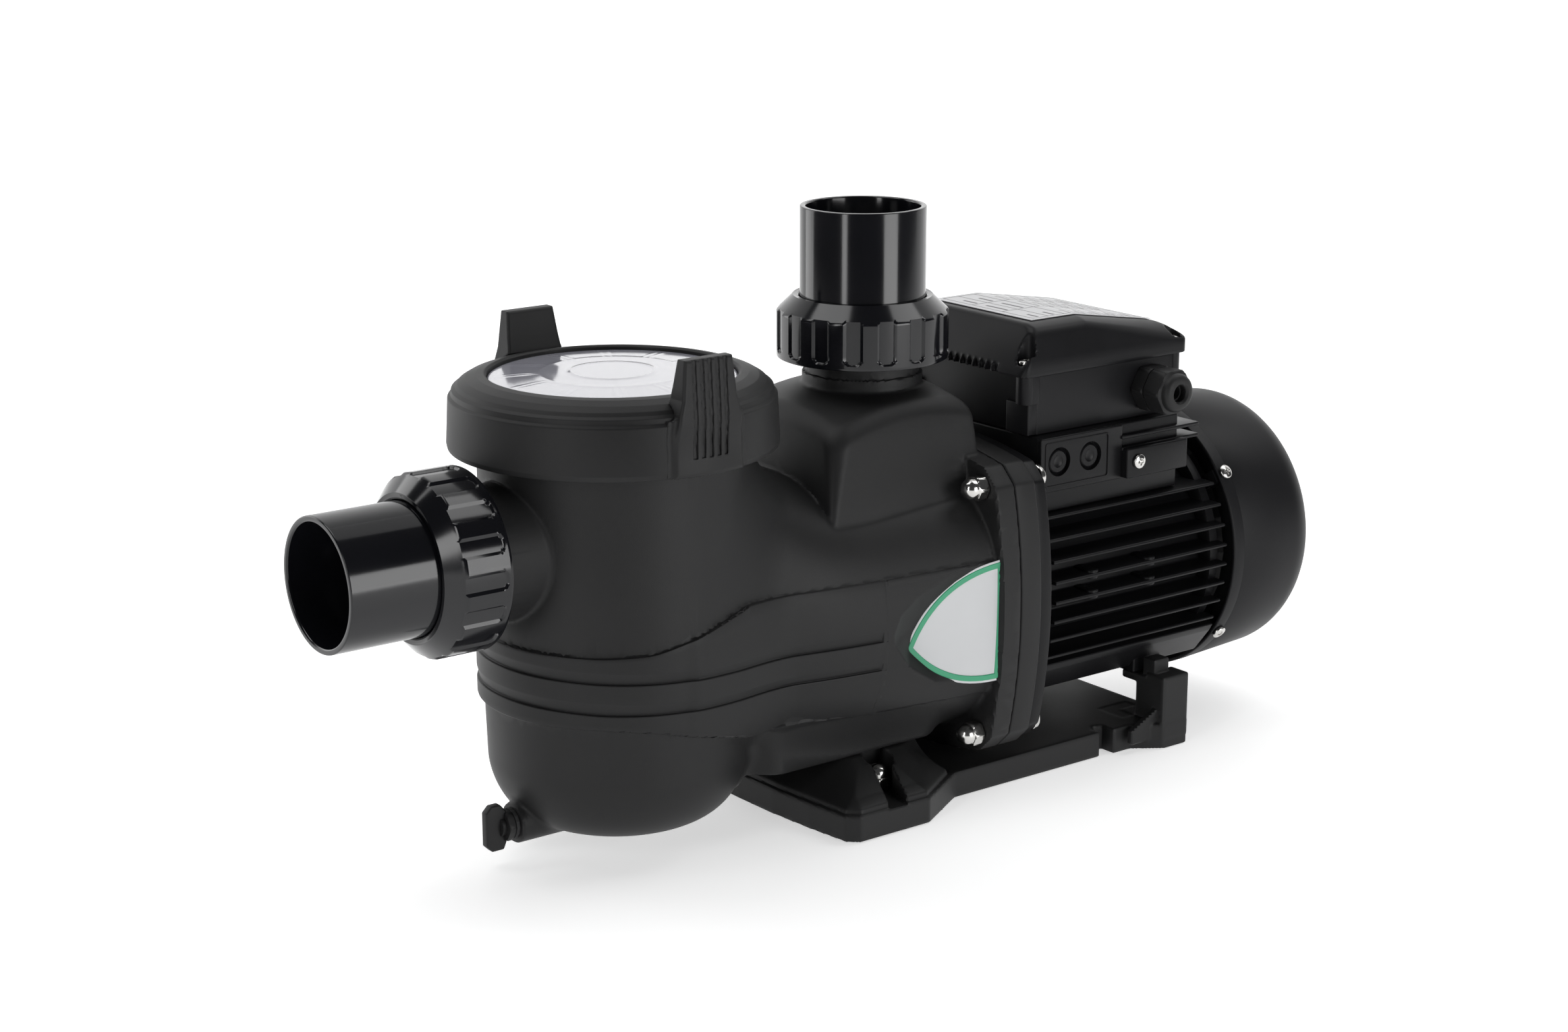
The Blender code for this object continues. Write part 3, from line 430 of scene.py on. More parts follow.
def material(
    name,
    colour,
    roughness,
    metallic=0.0,
    spread=0.1,
    cloud=14.0,
    wear=0.05,
    grain=1400.0,
    depth=0.03,
    stretch=(1.0, 1.0, 1.0),
    extra={},
):
    """A procedural finish: clouded colour and roughness, and a fine bump with its depth in millimetres."""
    made = bpy.data.materials.new(name)
    made.use_nodes = True
    nodes, links = made.node_tree.nodes, made.node_tree.links
    shader = nodes["Principled BSDF"]
    place = nodes.new("ShaderNodeTexCoord")
    shift = nodes.new("ShaderNodeMapping")
    shift.inputs["Scale"].default_value = stretch
    links.new(place.outputs["Object"], shift.inputs["Vector"])
    noises = []
    for scale, detail in ((cloud, 5.0), (grain, 2.0)):
        noise = nodes.new("ShaderNodeTexNoise")
        noise.inputs["Scale"].default_value = scale
        noise.inputs["Detail"].default_value = detail
        links.new(shift.outputs["Vector"], noise.inputs["Vector"])
        noises.append(noise.outputs["Fac"])
    ramp = nodes.new("ShaderNodeValToRGB")
    low, high = ramp.color_ramp.elements
    low.position, high.position = 0.3, 0.7
    low.color = (*[c * (1 - spread) for c in colour], 1)
    high.color = (*[c * (1 + spread) for c in colour], 1)
    links.new(noises[0], ramp.inputs["Fac"])
    links.new(ramp.outputs["Color"], shader.inputs["Base Color"])
    rough = nodes.new("ShaderNodeMapRange")
    rough.inputs["From Min"].default_value = 0.3
    rough.inputs["From Max"].default_value = 0.7
    rough.inputs["To Min"].default_value = roughness - wear
    rough.inputs["To Max"].default_value = roughness + wear
    links.new(noises[0], rough.inputs["Value"])
    links.new(rough.outputs["Result"], shader.inputs["Roughness"])
    bump = nodes.new("ShaderNodeBump")
    bump.inputs["Strength"].default_value = 1.0
    bump.inputs["Distance"].default_value = depth * MM
    links.new(noises[1], bump.inputs["Height"])
    links.new(bump.outputs["Normal"], shader.inputs["Normal"])
    shader.inputs["Metallic"].default_value = metallic
    for socket, value in extra.items():
        shader.inputs[socket].default_value = value
    return made


FROSTED = {"Specular IOR Level": 0.27}
DULL = {"Specular IOR Level": 0.18}
PLASTIC = material(
    "body_plastic", (0.0130, 0.0130, 0.0134), 0.50, spread=0.18, grain=1700.0, depth=0.035, extra=FROSTED
)
GLOSS = material("union_plastic", (0.0050, 0.0052, 0.0068), 0.13, wear=0.03, grain=240.0, depth=0.004)
PAINT = material("motor_paint", (0.0070, 0.0070, 0.0078), 0.36, spread=0.12, grain=900.0, extra=DULL)
SATIN = material("cover_satin", (0.0085, 0.0085, 0.0096), 0.42, grain=1500.0, depth=0.02, extra=DULL)
STEEL = material("stainless", (0.66, 0.65, 0.63), 0.17, 1.0, spread=0.05, grain=600.0, depth=0.003)
RUBBER = material("seal_rubber", (0.016, 0.016, 0.017), 0.75)
GREY = material("badge_white", (0.60, 0.61, 0.62), 0.32, spread=0.03, grain=500.0, depth=0.004)
GREEN = material("badge_green", (0.040, 0.33, 0.17), 0.34, spread=0.05, grain=500.0, depth=0.004)
LABEL = material("label_silver", (0.50, 0.50, 0.51), 0.36, 0.55, spread=0.05, grain=700.0, depth=0.004)
INK = material("label_ink", (0.05, 0.05, 0.055), 0.5, spread=0.1)
NYLON = material("basket_nylon", (0.62, 0.64, 0.66), 0.45, spread=0.04, grain=900.0)
NORYL = material("hydraulic_plastic", (0.06, 0.06, 0.065), 0.45)
CERAMIC = material("seal_ceramic", (0.80, 0.78, 0.74), 0.25, spread=0.04)
IRON = material("core_steel", (0.30, 0.30, 0.31), 0.42, 1.0, grain=500.0, depth=0.01)
COPPER = material("winding_copper", (0.55, 0.22, 0.10), 0.35, 1.0, stretch=(1, 4, 4))
PALE = material("terminal_plastic", (0.60, 0.58, 0.52), 0.5, spread=0.05)
GLASSY = {"Transmission Weight": 0.35, "IOR": 1.25}
CLEAR = material(
    "clear_lid",
    (0.34, 0.34, 0.39),
    0.12,
    spread=0.03,
    cloud=9.0,
    wear=0.03,
    grain=120.0,
    depth=0.01,
    extra=GLASSY,
)

NODE_FINISHES = (
    (NORYL, "diffuser impeller fan"),
    (RUBBER, "wear_ring body_gasket lid_seal gland_seal suction_oring discharge_oring drain_oring"),
    (CERAMIC, "seal_rotating seal_seat"),
    (COPPER, "stator"),
    (IRON, "rotor_core rotor_shaft front_bearing rear_bearing"),
    (PAINT, "rear_shield"),
    (PALE, "terminal_block capacitor"),
)


def finish_nodes():
    """The inner CAD nodes keep their shape and get procedural finishes."""
    for finish, names in NODE_FINISHES:
        for name in names.split():
            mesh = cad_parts[name].data
            mesh.materials.clear()
            mesh.materials.append(finish)


# ------------------------------------------------------------- wet end body

PIPE_RADIUS = 35.0
PIPE_BORE = 31.7
DISCHARGE_NUT_Z = 243.1
SUCTION_NUT_X = -259.4
THREAD_RADIUS = 41.2
BOWL_RADIUS, BOWL_TOP, BOWL_DEPTH = 70.07, 48.83, 37.46
BELT_RADIUS = 74.8
FOOT_BOTTOM = 34.3
BARREL_ENDS = (-150.0, 30.0)


def smooth_curve(xs, ys, blur=9.0):
    """A lookup through points, with its kinks rounded over some millimetres."""
    grid = np.arange(min(xs) - 40, max(xs) + 40, 1.0)
    values = np.interp(grid, xs, ys)
    reach = np.arange(-30, 31)
    weights = np.exp(-((reach / blur) ** 2))
    padded = np.pad(values, 30, mode="edge")
    rounded = np.convolve(padded, weights / weights.sum(), mode="valid")
    return lambda x: np.interp(x, grid, rounded)


def pot_outline():
    """Half section of the pot: a full bowl, a nearly straight wall and the thicker rim under the lid."""
    points = [(-30, 11.4), (0.0, 11.4)]
    for step in range(1, 25):
        angle = math.pi / 2 * (1 - step / 24)
        radius = BOWL_RADIUS * max(math.cos(angle), 0.0) ** 0.418
        if radius >= 20:
            points.append((radius, BOWL_TOP - BOWL_DEPTH * math.sin(angle) ** 1.25))
    points += [(70.9, 76), (72.9, 118), (71.8, 200), (71.8, 216)]
    points += [(81.8, 218, 1), (81.8, 241, 0.6), (-30, 241)]
    return fillet(points, 0.5, 3)


def pot_hollow():
    points = [(-40, 17), (44, 20, 8), (58, 31, 10), (64.5, 50, 8), (64.5, 207)]
    points += [(69, 208), (69, 270), (-40, 270)]
    return fillet(points, 0.5, 4)


def flange_outline(shrink=0.0, corner=5.0):
    """A square with bulging sides, centred on the shaft axis."""
    reach, side = 72.0, []
    for step in range(-6, 7):
        along = reach * step / 6
        out = 90.0 - 10.0 * (along / 80.0) ** 2
        side.append((out - shrink, along * (1 - shrink / 80.0)))
    outline = []
    for quarter in range(4):
        for index, (out, along) in enumerate(side):
            turn = ((out, along), (-along, out), (-out, -along), (along, -out))[quarter]
            size = corner if index in (0, 12) else 0.0
            outline.append((*turn, size))
    return fillet(outline, 0.0, 3)


SHIELD_TOP, SHIELD_BOTTOM, SHIELD_TIP = (27.7, 133.9), (26.8, 73.5), (-24.0, 95.5)
SHIELD_SIDES = (
    (SHIELD_TOP, SHIELD_TIP, 9.0),
    (SHIELD_TIP, SHIELD_BOTTOM, 7.0),
    (SHIELD_BOTTOM, SHIELD_TOP, 0.6),
)


def shield_outline(grow=0.0, steps=16):
    """The badge's pointed outline in x and z."""
    points = []
    for start, end, bow in SHIELD_SIDES:
        along = Vector((end[0] - start[0], end[1] - start[1]))
        out = Vector((along.y, -along.x)).normalized()
        for step in range(steps):
            share = step / steps
            spot = Vector(start) + along * share + out * (bow * 4 * share * (1 - share))
            points.append((spot.x, spot.y))
    if grow:
        points = [tuple(p) for p in inset(points[::-1], -grow)][::-1]
    return points


def shield_plane(x):
    """The y of the badge's flat seat."""
    return -(78.7 + 0.193 * x)


BOLT_HOLE = 4.3


def bolt_places():
    """The label, y and z of each bolt of the flange joint."""
    for side in (-1, 1):
        for height in (1, -1):
            label = ("front", "back")[side > 0] + ("_lower", "_upper")[height > 0]
            yield label, side * 71.0, SHAFT_Z + height * 71.0


BARREL_X = (-150, -105, -75, -45, 34)
half_at = smooth_curve(BARREL_X, (58.0, 69.0, 75.5, 80.0, 87.0))
top_at = smooth_curve(BARREL_X, (100.0, 99.0, 83.0, 77.0, 79.0))
bottom_at = smooth_curve(BARREL_X, (56.0, 63.0, 67.0, 71.0, 80.0))
CREASE_X = (-240, -212, -190, -171, -147, -133)
crease_at = smooth_curve(CREASE_X, (122.0, 121.3, 122.2, 126.8, 133.8, 138.0), 3.0)
skirt_at = smooth_curve((-212, -190, -162, -130, -46), (82.8, 80.0, 73.0, 64.5, 61.0), 3.0)
LEDGE_X = (-240, -212, -141, -46)
LEDGE_HEIGHTS = (
    (115.6, 113.5, 109.0, 110.4),
    (109.6, 107.7, 104.6, 105.0),
    (99.0, 97.4, 92.6, 93.2),
    (93.2, 91.1, 88.2, 88.7),
)
LEDGES = [smooth_curve(LEDGE_X, heights, 3.0) for heights in LEDGE_HEIGHTS]
BAND_END = -47.5
HUMP_Z = (120, 172, 214, 224)
hump_left = smooth_curve(HUMP_Z, (-70.0, -67.5, -60.0, -56.0), 6.0)
hump_right = smooth_curve(HUMP_Z, (40.5, 40.5, 38.5, 37.0), 6.0)
hump_half = smooth_curve(HUMP_Z, (60.0, 59.5, 52.0, 48.5), 6.0)
hump_corner = smooth_curve(HUMP_Z, (2.0, 3.5, 12.0, 13.0), 8.0)
RECESS = [(-44, 104.5), (-38, 118), (-26, 127), (0, 136), (28, 140)]
RECESS += [(60, 140), (60, 65), (28, 65), (-12, 74), (-32, 88)]
POT = tabled(pot_outline())
POT_HOLLOW = tabled(pot_hollow())
FLANGE = tabled(flange_outline())
BADGE = tabled(shield_outline(0.7))
RIM = tabled(fillet(RECESS, 9.0, 6))


def barrel(x, y, z):
    """First-order distance to the barrel's flattened round section."""
    power = 2.5
    half, up = half_at(x), z - SHAFT_Z
    reach = np.where(up > 0, top_at(x), bottom_at(x))
    u, v = np.abs(y) / half, np.abs(up) / reach
    size = np.maximum((u**power + v**power) ** (1 / power), 0.05)
    slope_y = size ** (1 - power) * u ** (power - 1) / half
    slope_z = size ** (1 - power) * v ** (power - 1) / reach
    distance = (size - 1) / np.sqrt(slope_y**2 + slope_z**2 + 1e-6)
    return np.maximum(distance, span(x, *BARREL_ENDS))


def belly_field(x, y, z):
    """The proud lower surface that runs round the pot and along the barrel as one."""
    belt = np.hypot(x - POT_X, y) - BELT_RADIUS
    return join(belt, barrel(x, y, z) - 1.5, 24.0)


def drum_field(x, y, z):
    """The pot and the barrel, with the proud lower surface between the crease and the skirt line."""
    dx, pot = x - POT_X, POT(np.hypot(x - POT_X, y), z)
    under_band = (x < BAND_END - 1.5) & (z > skirt_at(x) + 1.2) & (z < crease_at(x) - 1.2)
    belly = both(belly_field(x, y, z) + np.where(under_band, 1.6, 0.0), z - crease_at(x), 0.5)
    belly = both(belly, skirt_at(x) - z, 0.8)
    drum = join(pot, np.maximum(barrel(x, y, z), -20.0 - dx), np.clip(z - 46.0, 3.0, 20.0))
    return join(drum, belly)


def hump_field(x, y, z):
    """The block under the discharge, and its threaded neck."""
    left, right = hump_left(z), hump_right(z)
    middle, half_x = (left + right) / 2, (right - left) / 2
    corner = np.where(x < middle, hump_corner(z), 4.0)
    block = rounded_rectangle(x - middle, y, half_x, hump_half(z), corner)
    crown = z - 231.5 + 0.0032 * (x * x + y * y)
    block = np.maximum(both(block, crown, 7.0), HUMP_Z[0] - z)
    axis_r = np.hypot(x, y)
    neck = np.maximum(axis_r - 31.8, span(z, 200.0, DISCHARGE_NUT_Z + 4))
    collar = both(axis_r - 33.6, z - 235.0, 1.0)
    return join(block, join(neck, np.maximum(collar, 200.0 - z), 0.6), 1.5)


def dished(solid, x, y, z):
    """The solid with a hollow that runs from the badge's flat seat out to the barrel's surface."""
    within = RIM(x, z)
    out = np.maximum(BADGE(x, z), 0.0)
    weight = np.clip(out / (out + np.maximum(-within, 1e-3)), 0.0, 1.0)
    weight = weight**1.4
    plane = -(y - shield_plane(x)) / 1.018
    bowl = (1 - weight) * plane + weight * (barrel(x, y, z) - 1.5)
    carve = (within < 0) & (y < -40) & (x < 28.6)
    return np.where(carve, np.maximum(solid, bowl), solid)


def hollow_field(x, y, z):
    """The pot's space, the passages to the volute and the pipes, and the bolt holes."""
    suction_r, shaft_r = np.hypot(y, z - SUCTION_Z), np.hypot(y, z - SHAFT_Z)
    volute_r = np.interp(x, (-52, -40, 28, 60), (54.0, 62.0, 68.0, 68.0))
    spaces = [
        np.maximum(suction_r - 29.7, span(x, -340.0, POT_X - 40)),
        both(shaft_r - volute_r, span(x, -52.0, 60.0), 6.0),
        np.maximum(shaft_r - 24.0, span(x, -120.0, -20.0)),
        np.maximum(np.hypot(x, y) - 26.0, span(z, 150.0, 290.0)),
        np.maximum(np.hypot(y, z - DRAIN_Z) - 5.2, span(x, POT_X - 90, POT_X - 40)),
    ]
    for _, bolt_y, bolt_z in bolt_places():
        spaces.append(np.maximum(np.hypot(y - bolt_y, z - bolt_z) - BOLT_HOLE, span(x, 10.0, 60.0)))
    hollow = POT_HOLLOW(np.hypot(x - POT_X, y), z)
    for space in spaces:
        hollow = np.minimum(hollow, space)
    return hollow


def body_field(x, y, z):
    solid = join(drum_field(x, y, z), hump_field(x, y, z), 1.6)
    suction_r, drain_r = np.hypot(y, z - SUCTION_Z), np.hypot(y, z - DRAIN_Z)
    boss = np.maximum(suction_r - 36.0, span(x, -261.9, POT_X - 30))
    solid = join(solid, boss, 1.8)
    upper = both(np.hypot(x, y) - THREAD_RADIUS, span(z, DISCHARGE_NUT_Z + 1, DISCHARGE_NUT_Z + 18.5), 0.6)
    front = both(suction_r - THREAD_RADIUS, span(x, SUCTION_NUT_X - 18.5, SUCTION_NUT_X - 1.0), 0.6)
    solid = join(solid, join(upper, front))

    foot = rounded_rectangle(x + 51.0, y, 61.0, 58.0, 14.0)
    foot = np.maximum(foot, span(z, FOOT_BOTTOM, 84.0))
    over_foot = (x > -118) & (x < 12) & (np.abs(y) < 80)
    solid = np.maximum(join(solid, foot, 12.0), FOOT_BOTTOM - z + np.where(over_foot, 0, -40))

    plate = both(FLANGE(y, z - SHAFT_Z), span(x, 28.0, 42.0), 1.2)
    solid = join(solid, plate, 2.0)
    drain = both(drain_r - 11.0, span(x, POT_X - 68.0, POT_X - 30.0), 1.0)
    solid = join(solid, drain, 3.0)
    return cut(dished(solid, x, y, z), hollow_field(x, y, z), 0.5)


def band_path():
    """Plan points and outward directions, from the barrel's back round the pot to its front."""
    spots = []
    for step in range(42):
        x = BAND_END + 3.5 - 2.2 * step
        spots.append((x, float(half_at(x)), 0.0, 1.0))
    first = math.atan2(60.0, spots[-1][0] - POT_X)
    for step in range(1, 140):
        angle = first + (2 * math.pi - 2 * first) * step / 140
        spots.append((POT_X + 70 * math.cos(angle), 70 * math.sin(angle), math.cos(angle), math.sin(angle)))
    spots += [(x, -y, nx, -ny) for x, y, nx, ny in reversed(spots[:42])]
    path = np.array(spots)
    for _ in range(6):
        path[1:-1, 2:] = (path[:-2, 2:] + path[1:-1, 2:] * 2 + path[2:, 2:]) / 4
    path[:, 2:] /= np.linalg.norm(path[:, 2:], axis=1)[:, None]
    return path


def on_belly(x, y, out_x, out_y, height, reach):
    """How far from (x, y) the proud lower surface lies along a plan direction."""
    for _ in range(24):
        value = belly_field(x + out_x * reach, y + out_y * reach, height)
        reach = reach - np.clip(value, -3.0, 3.0) * 0.8
    return reach


def stacked(rows, like):
    """Rows of heights and of depths, each spread over as many columns as there are in like."""
    return [np.stack([np.broadcast_to(row[part], like.shape) for row in rows]) for part in (0, 1)]


def build_band():
    """The ledged strip round the pot and along the barrel, as rows at exact heights."""
    x, y, out_x, out_y = band_path().T
    fade = np.clip((BAND_END - x) / 1.2, 0, 1)
    top, low = crease_at(x), skirt_at(x)
    first, second, third, fourth = [ledge(x) for ledge in LEDGES]
    rows = [(top + 0.2, 3.2), (top + 0.05, 0.9), (top - 0.25, 0.2), (top - 0.8, 0.0)]
    rows += [(top + (first - top) * share, 0.0) for share in (0.25, 0.5, 0.75)]
    for upper, lower in ((first, second), (third, fourth)):
        rows += [(upper + 0.5, 0.0), (upper + 0.05, 0.05 * fade), (upper - 0.4, 0.2 * fade)]
        rows += [((upper + lower) / 2, 0.8 * fade), (lower + 0.25, 1.45 * fade), (lower, 1.3 * fade)]
        rows += [(lower - 0.3, 0.2 * fade), (lower - 0.7, 0.0)]
        if upper is first:
            rows += [(lower + (third - lower) * share, 0.0) for share in (0.35, 0.65)]
    rows += [(fourth + (low - fourth) * share, 0.0) for share in (0.3, 0.6)]
    step = np.clip((-124.0 - x) / 8.0, 0, 1)
    rows += [(low + 1.8, 0.0), (low + 0.9, 0.25 * step), (low + 0.3, 0.8 * step), (low - 0.1, 1.8 * step)]
    rows += [(low - 0.3, 4.0)]
    height, depth = stacked(rows, x)
    depth = depth + np.where(np.abs(x - x.max()) < 0.1, 0.5, np.where(x > BAND_END - 3.0, -0.08, 0.0))
    reach = on_belly(x, y, out_x, out_y, height, np.zeros_like(height)) - depth
    points = np.stack([x + out_x * reach, y + out_y * reach, height], -1)
    return skin(list(points[::-1]), False, False)


def build_crease(side):
    """The crisp upper edge of the proud lower surface, between the band's end and the flange."""
    x = np.linspace(BAND_END + 3.0, 10.0, 32)[::-side]
    top = crease_at(x)
    low = top - 3.6 + 2.6 * np.clip((x + 6.0) / 14.0, 0, 1)
    rows = [(top + 0.15, 2.8), (top, 0.6), (top - 0.2, 0.05), (top - 0.6, -0.12)]
    rows += [((top + low) / 2, -0.12), (low + 0.4, -0.04), (low, 0.5)]
    height, depth = stacked(rows, x)
    reach = on_belly(x, 0.0, 0.0, side, height, np.broadcast_to(half_at(x), height.shape)) - depth
    points = np.stack([np.broadcast_to(x, height.shape), side * reach, height], -1)
    return skin(list(points[::-1]), False, False)


def build_wet_end():
    step = 1.5
    shape = surface(body_field, (-284, -98, 6), (46, 98, 268), step, 3)
    keep = 0.5
    piece("body_moulding", [(shape, PLASTIC)], "pump", ("pump_body",), 34, keep)
    strips = [(build_band(), PLASTIC), (build_crease(-1), PLASTIC), (build_crease(1), PLASTIC)]
    piece("body_band", strips, "pump", (), 24)
    build_badge()
    build_union("suction", at(SUCTION_NUT_X, 0, SUCTION_Z, "-X"))
    build_union("discharge", at(0, 0, DISCHARGE_NUT_Z, "Z"))
    build_drain()


def build_badge():
    """A plain shield with a raised green border round a grey field."""

    def ring_points(grow, lift):
        return [(x, shield_plane(x) - lift, z) for x, z in shield_outline(grow)]

    rows = [ring_points(-0.2, 0.3), ring_points(0.0, 0.5), ring_points(0.0, 1.5), ring_points(-0.35, 1.8)]
    rows += [ring_points(-2.9, 1.8), ring_points(-3.2, 1.45)]
    border = skin(rows, True, False)
    field_rows = [ring_points(-3.2, 1.45), ring_points(-4.2, 1.45), ring_points(-4.4, 1.3)]
    field = skin(field_rows, True, False)
    points, faces = field
    count = len(field_rows[0])
    faces.append(tuple(range(2 * count, 3 * count)))
    back = np.array(rows[0]), [tuple(range(count))[::-1]]
    parts = [(border, GREEN), ((points, faces), GREY), (back, GREEN)]
    piece("badge_shield", parts, "pump", ("badge_plate",), 30)


def grid_skin(rows, columns, place=None, start=0.0):
    """Closed rows round Z. Each row is (radius, height), and either may be an array over the columns."""
    angles = start + np.arange(columns) * 2 * math.pi / columns
    points = []
    for radius, height in rows:
        radius = np.broadcast_to(np.asarray(radius, float), columns)
        height = np.broadcast_to(np.asarray(height, float), columns)
        points.append(np.column_stack([radius * np.cos(angles), radius * np.sin(angles), height]))
    shape = skin(points, True, False)
    return moved(shape, place) if place else shape


ON_AXIS = 0.02


def close_loop(rows):
    return rows + [rows[0]]


def quarter(centre, size, count, last=None):
    """Points up a quarter ellipse from its widest place, the first one left out."""
    angles = [math.pi / 2 * step / count for step in range(1, (last or count) + 1)]
    return [(centre[0] + size[0] * math.cos(a), centre[1] + size[1] * math.sin(a)) for a in angles]


def hexagon(columns, across, corner):
    """A hexagon's radius at each column, with its corners turned down to a radius."""
    angles = np.arange(columns) * 2 * math.pi / columns
    share = (angles + math.pi / 6) % (math.pi / 3) - math.pi / 6
    return np.minimum(across / 2 / np.cos(share), corner)


NUT_RADIUS = 47.9
NUT_POCKETS = 16


def build_union(name, place):
    """A tail pipe and its turning nut with 16 pockets open at the chamfered end."""
    tail = [(26.0, 18.8), (31.5, 18.8), (31.5, 21.0), (36.5, 21.0), (36.5, 18.8), (41.0, 18.8, 0.4)]
    tail += [(41.0, 25.5, 0.4), (PIPE_RADIUS, 25.5), (PIPE_RADIUS, 83.8, 0.7), (PIPE_BORE, 83.8, 1.1)]
    tail += [(PIPE_BORE, 45.0), (26.0, 43.0, 1.0)]
    pipe = lathe(fillet(tail, 0.15, 4), 128, place)
    piece(f"{name}_tailpiece", [(pipe, GLOSS)], "pump", (f"{name}_tail",), 35)

    columns = NUT_POCKETS * 24
    angles = np.arange(columns) * 2 * math.pi / columns
    pitch = math.pi * 2 / NUT_POCKETS
    off = ((angles + pitch / 2) % pitch - pitch / 2) * NUT_RADIUS
    heights = [0.0, 0.25, 0.7, 1.6] + [2.2 + 0.45 * i for i in range(9)]
    heights += [8.0, 14.0, 20.0, 24.6, 25.4, 25.8, 26.3] + [27 + 0.9 * i for i in range(8)] + [33.9, 34.5]
    rows = []
    for height in heights:
        if height < 0.7:
            radius = NUT_RADIUS - 0.7 + math.sqrt(max(0.7**2 - (0.7 - height) ** 2, 0))
        elif height <= 25.4:
            radius = NUT_RADIUS
        elif height < 26.5:
            radius = NUT_RADIUS - 0.2 * (height - 25.4) - 0.35 * (height - 25.4) ** 2
        else:
            radius = NUT_RADIUS - (height - 25.8) * 9.0 / 8.7
        depth = rounded_rectangle(off, height - 29.0, 4.7, 26.0, 3.2)
        depth = np.clip((-depth + 0.35) / 0.7, 0, 1) * 1.25
        rows.append((np.minimum(radius, NUT_RADIUS - depth), height))
    rows += [(38.4, 34.5), (38.0, 34.3), (36.4, 34.3), (35.6, 33.8), (35.6, 26.0), (41.7, 26.0), (41.7, 0.0)]
    nut = grid_skin(close_loop(rows), columns, place)
    piece(f"{name}_collar", [(nut, GLOSS)], f"{name}_union", (f"{name}_nut",), 28)


def build_drain():
    place = at(POT_X - 68.0, 0, DRAIN_Z, "-X")
    spindle = [(0, -9.0), (4.8, -9.0), (4.8, 2.6), (5.2, 2.7), (5.2, 5.8), (5.5, 9.0), (0, 9.0)]
    stem = lathe(spindle, 32, place)
    grip = hex_column(15.6, [(2.7, 8.2), (3.3, 99), (5.9, 99), (6.4, 8.2)], 36, place)
    wing_outline = [(-12.6, 6.9), (-8.6, 5.2), (8.6, 5.2), (12.6, 8.6)]
    wing_outline += [(12.6, 14.0), (9.2, 17.4), (-9.2, 17.4), (-12.6, 14.0)]
    turn = place @ Matrix.Rotation(math.pi / 2, 4, "Z") @ Matrix.Rotation(math.pi / 2, 4, "X")
    wing = prism(fillet(wing_outline, 1.2, 3), -2.5, 2.5, 0.8, turn)
    parts = [(shape, PLASTIC) for shape in (stem, grip, wing)]
    piece("drain_key", parts, "drain", ("drain_plug",), 32)


def hex_column(across, rows, columns=72, place=None, bore=0.0):
    """A hexagon bar whose rows are (height, largest radius), closed on its axis or on a bore."""
    flat = hexagon(columns, across, across / math.sqrt(3) - 0.25)
    inner = max(bore, ON_AXIS)
    skins = [(inner, rows[0][0])] + [(np.minimum(flat, cap), height) for height, cap in rows]
    skins.append((inner, rows[-1][0]))
    return grid_skin(close_loop(skins), columns, place, math.pi / 6)


# ------------------------------------------------------------------- lid


def build_lid():
    place = at(POT_X, 0, 0)
    profile = [(82.4, 216.8, 0.4), (86.6, 216.8, 0.8), (87.2, 219.6, 2.0), (85.95, 243.6, 1.4)]
    profile += [(84.3, 245.0, 0.3), (84.1, 246.0, 0.4), (83.9, 247.6, 0.6), (82.0, 248.9, 0.8)]
    profile += [(80.4, 250.7, 2.0), (76.5, 253.0, 4.0), (71.0, 254.9, 3.0), (67.0, 255.6, 1.4)]
    profile += [(65.6, 254.6, 0.5), (65.6, 249.4), (80.6, 249.4), (82.4, 247.6)]
    ring = lathe(fillet(profile, 0.3, 5), 180, place)
    step = 0.55
    parts = [(ring, PLASTIC)]
    tab, tab_faces = surface(tab_field, (-30, 66, 214), (30, 92, 280), step, 3)
    for side in (-1, 1):
        points = tab * (1, side, 1) + (POT_X, 0, 0)
        parts.append(((points, [face[::side] for face in tab_faces]), PLASTIC))
    piece("lid_collar", parts, "ring", ("lid_ring",), 32)
    build_window(place)


TAB_GROOVES = 5
TAB_GROOVE_PITCH = 4.7


def tab_field(x, y, z):
    """A grip tab with grooves outside, for the side at +Y before it is mirrored."""
    radius = np.hypot(x, y)
    skirt = 87.2 - (z - 216.8) * 0.045
    half = np.interp(z, (216.0, 240.0, 249.0, 256.0, 276.0), (20.5, 20.0, 18.6, 16.6, 14.6))
    upright = np.clip((z - 226.0) / 22.0, 0, 1)
    follow = np.sqrt(np.maximum(87.9**2 - x * x, 1.0)) - (z - 216.8) * 0.045
    face = np.interp(z, (216, 244, 276), (88.6, 88.2, 86.2))
    outer = follow + (face - follow) * upright**2 * (3 - 2 * upright)
    inner = np.interp(z, (244, 250, 254, 262, 276), (83.4, 80.0, 74.0, 76.0, 78.4))
    body = np.maximum(np.abs(x) - half, span(z, 217.4, 276.0))
    body = both(body, np.maximum(y - outer, inner - y), 1.6)
    root = np.maximum(np.abs(x) - half - 4.0, span(z, 217.4, 246.0))
    root = np.maximum(root, np.maximum(radius - skirt - 0.2, 83.4 - radius))
    body = join(body, root, 2.5)
    for index in range(TAB_GROOVES):
        centre = (index - TAB_GROOVES // 2) * TAB_GROOVE_PITCH
        groove = np.maximum(np.abs(x - centre) - 1.15, outer - y - 0.9)
        body = cut(body, np.maximum(groove, span(z, 226.0, 277.5)), 0.35)
    return np.maximum(body, 83.0 - np.maximum(radius, np.where(z > 248, 200.0, 0.0)))


WINDOW_TOP = 255.6
WINDOW_RADIUS = 65.0
WINDOW_RINGS = (21.7, 38.0)
WINDOW_SPOKES = 12


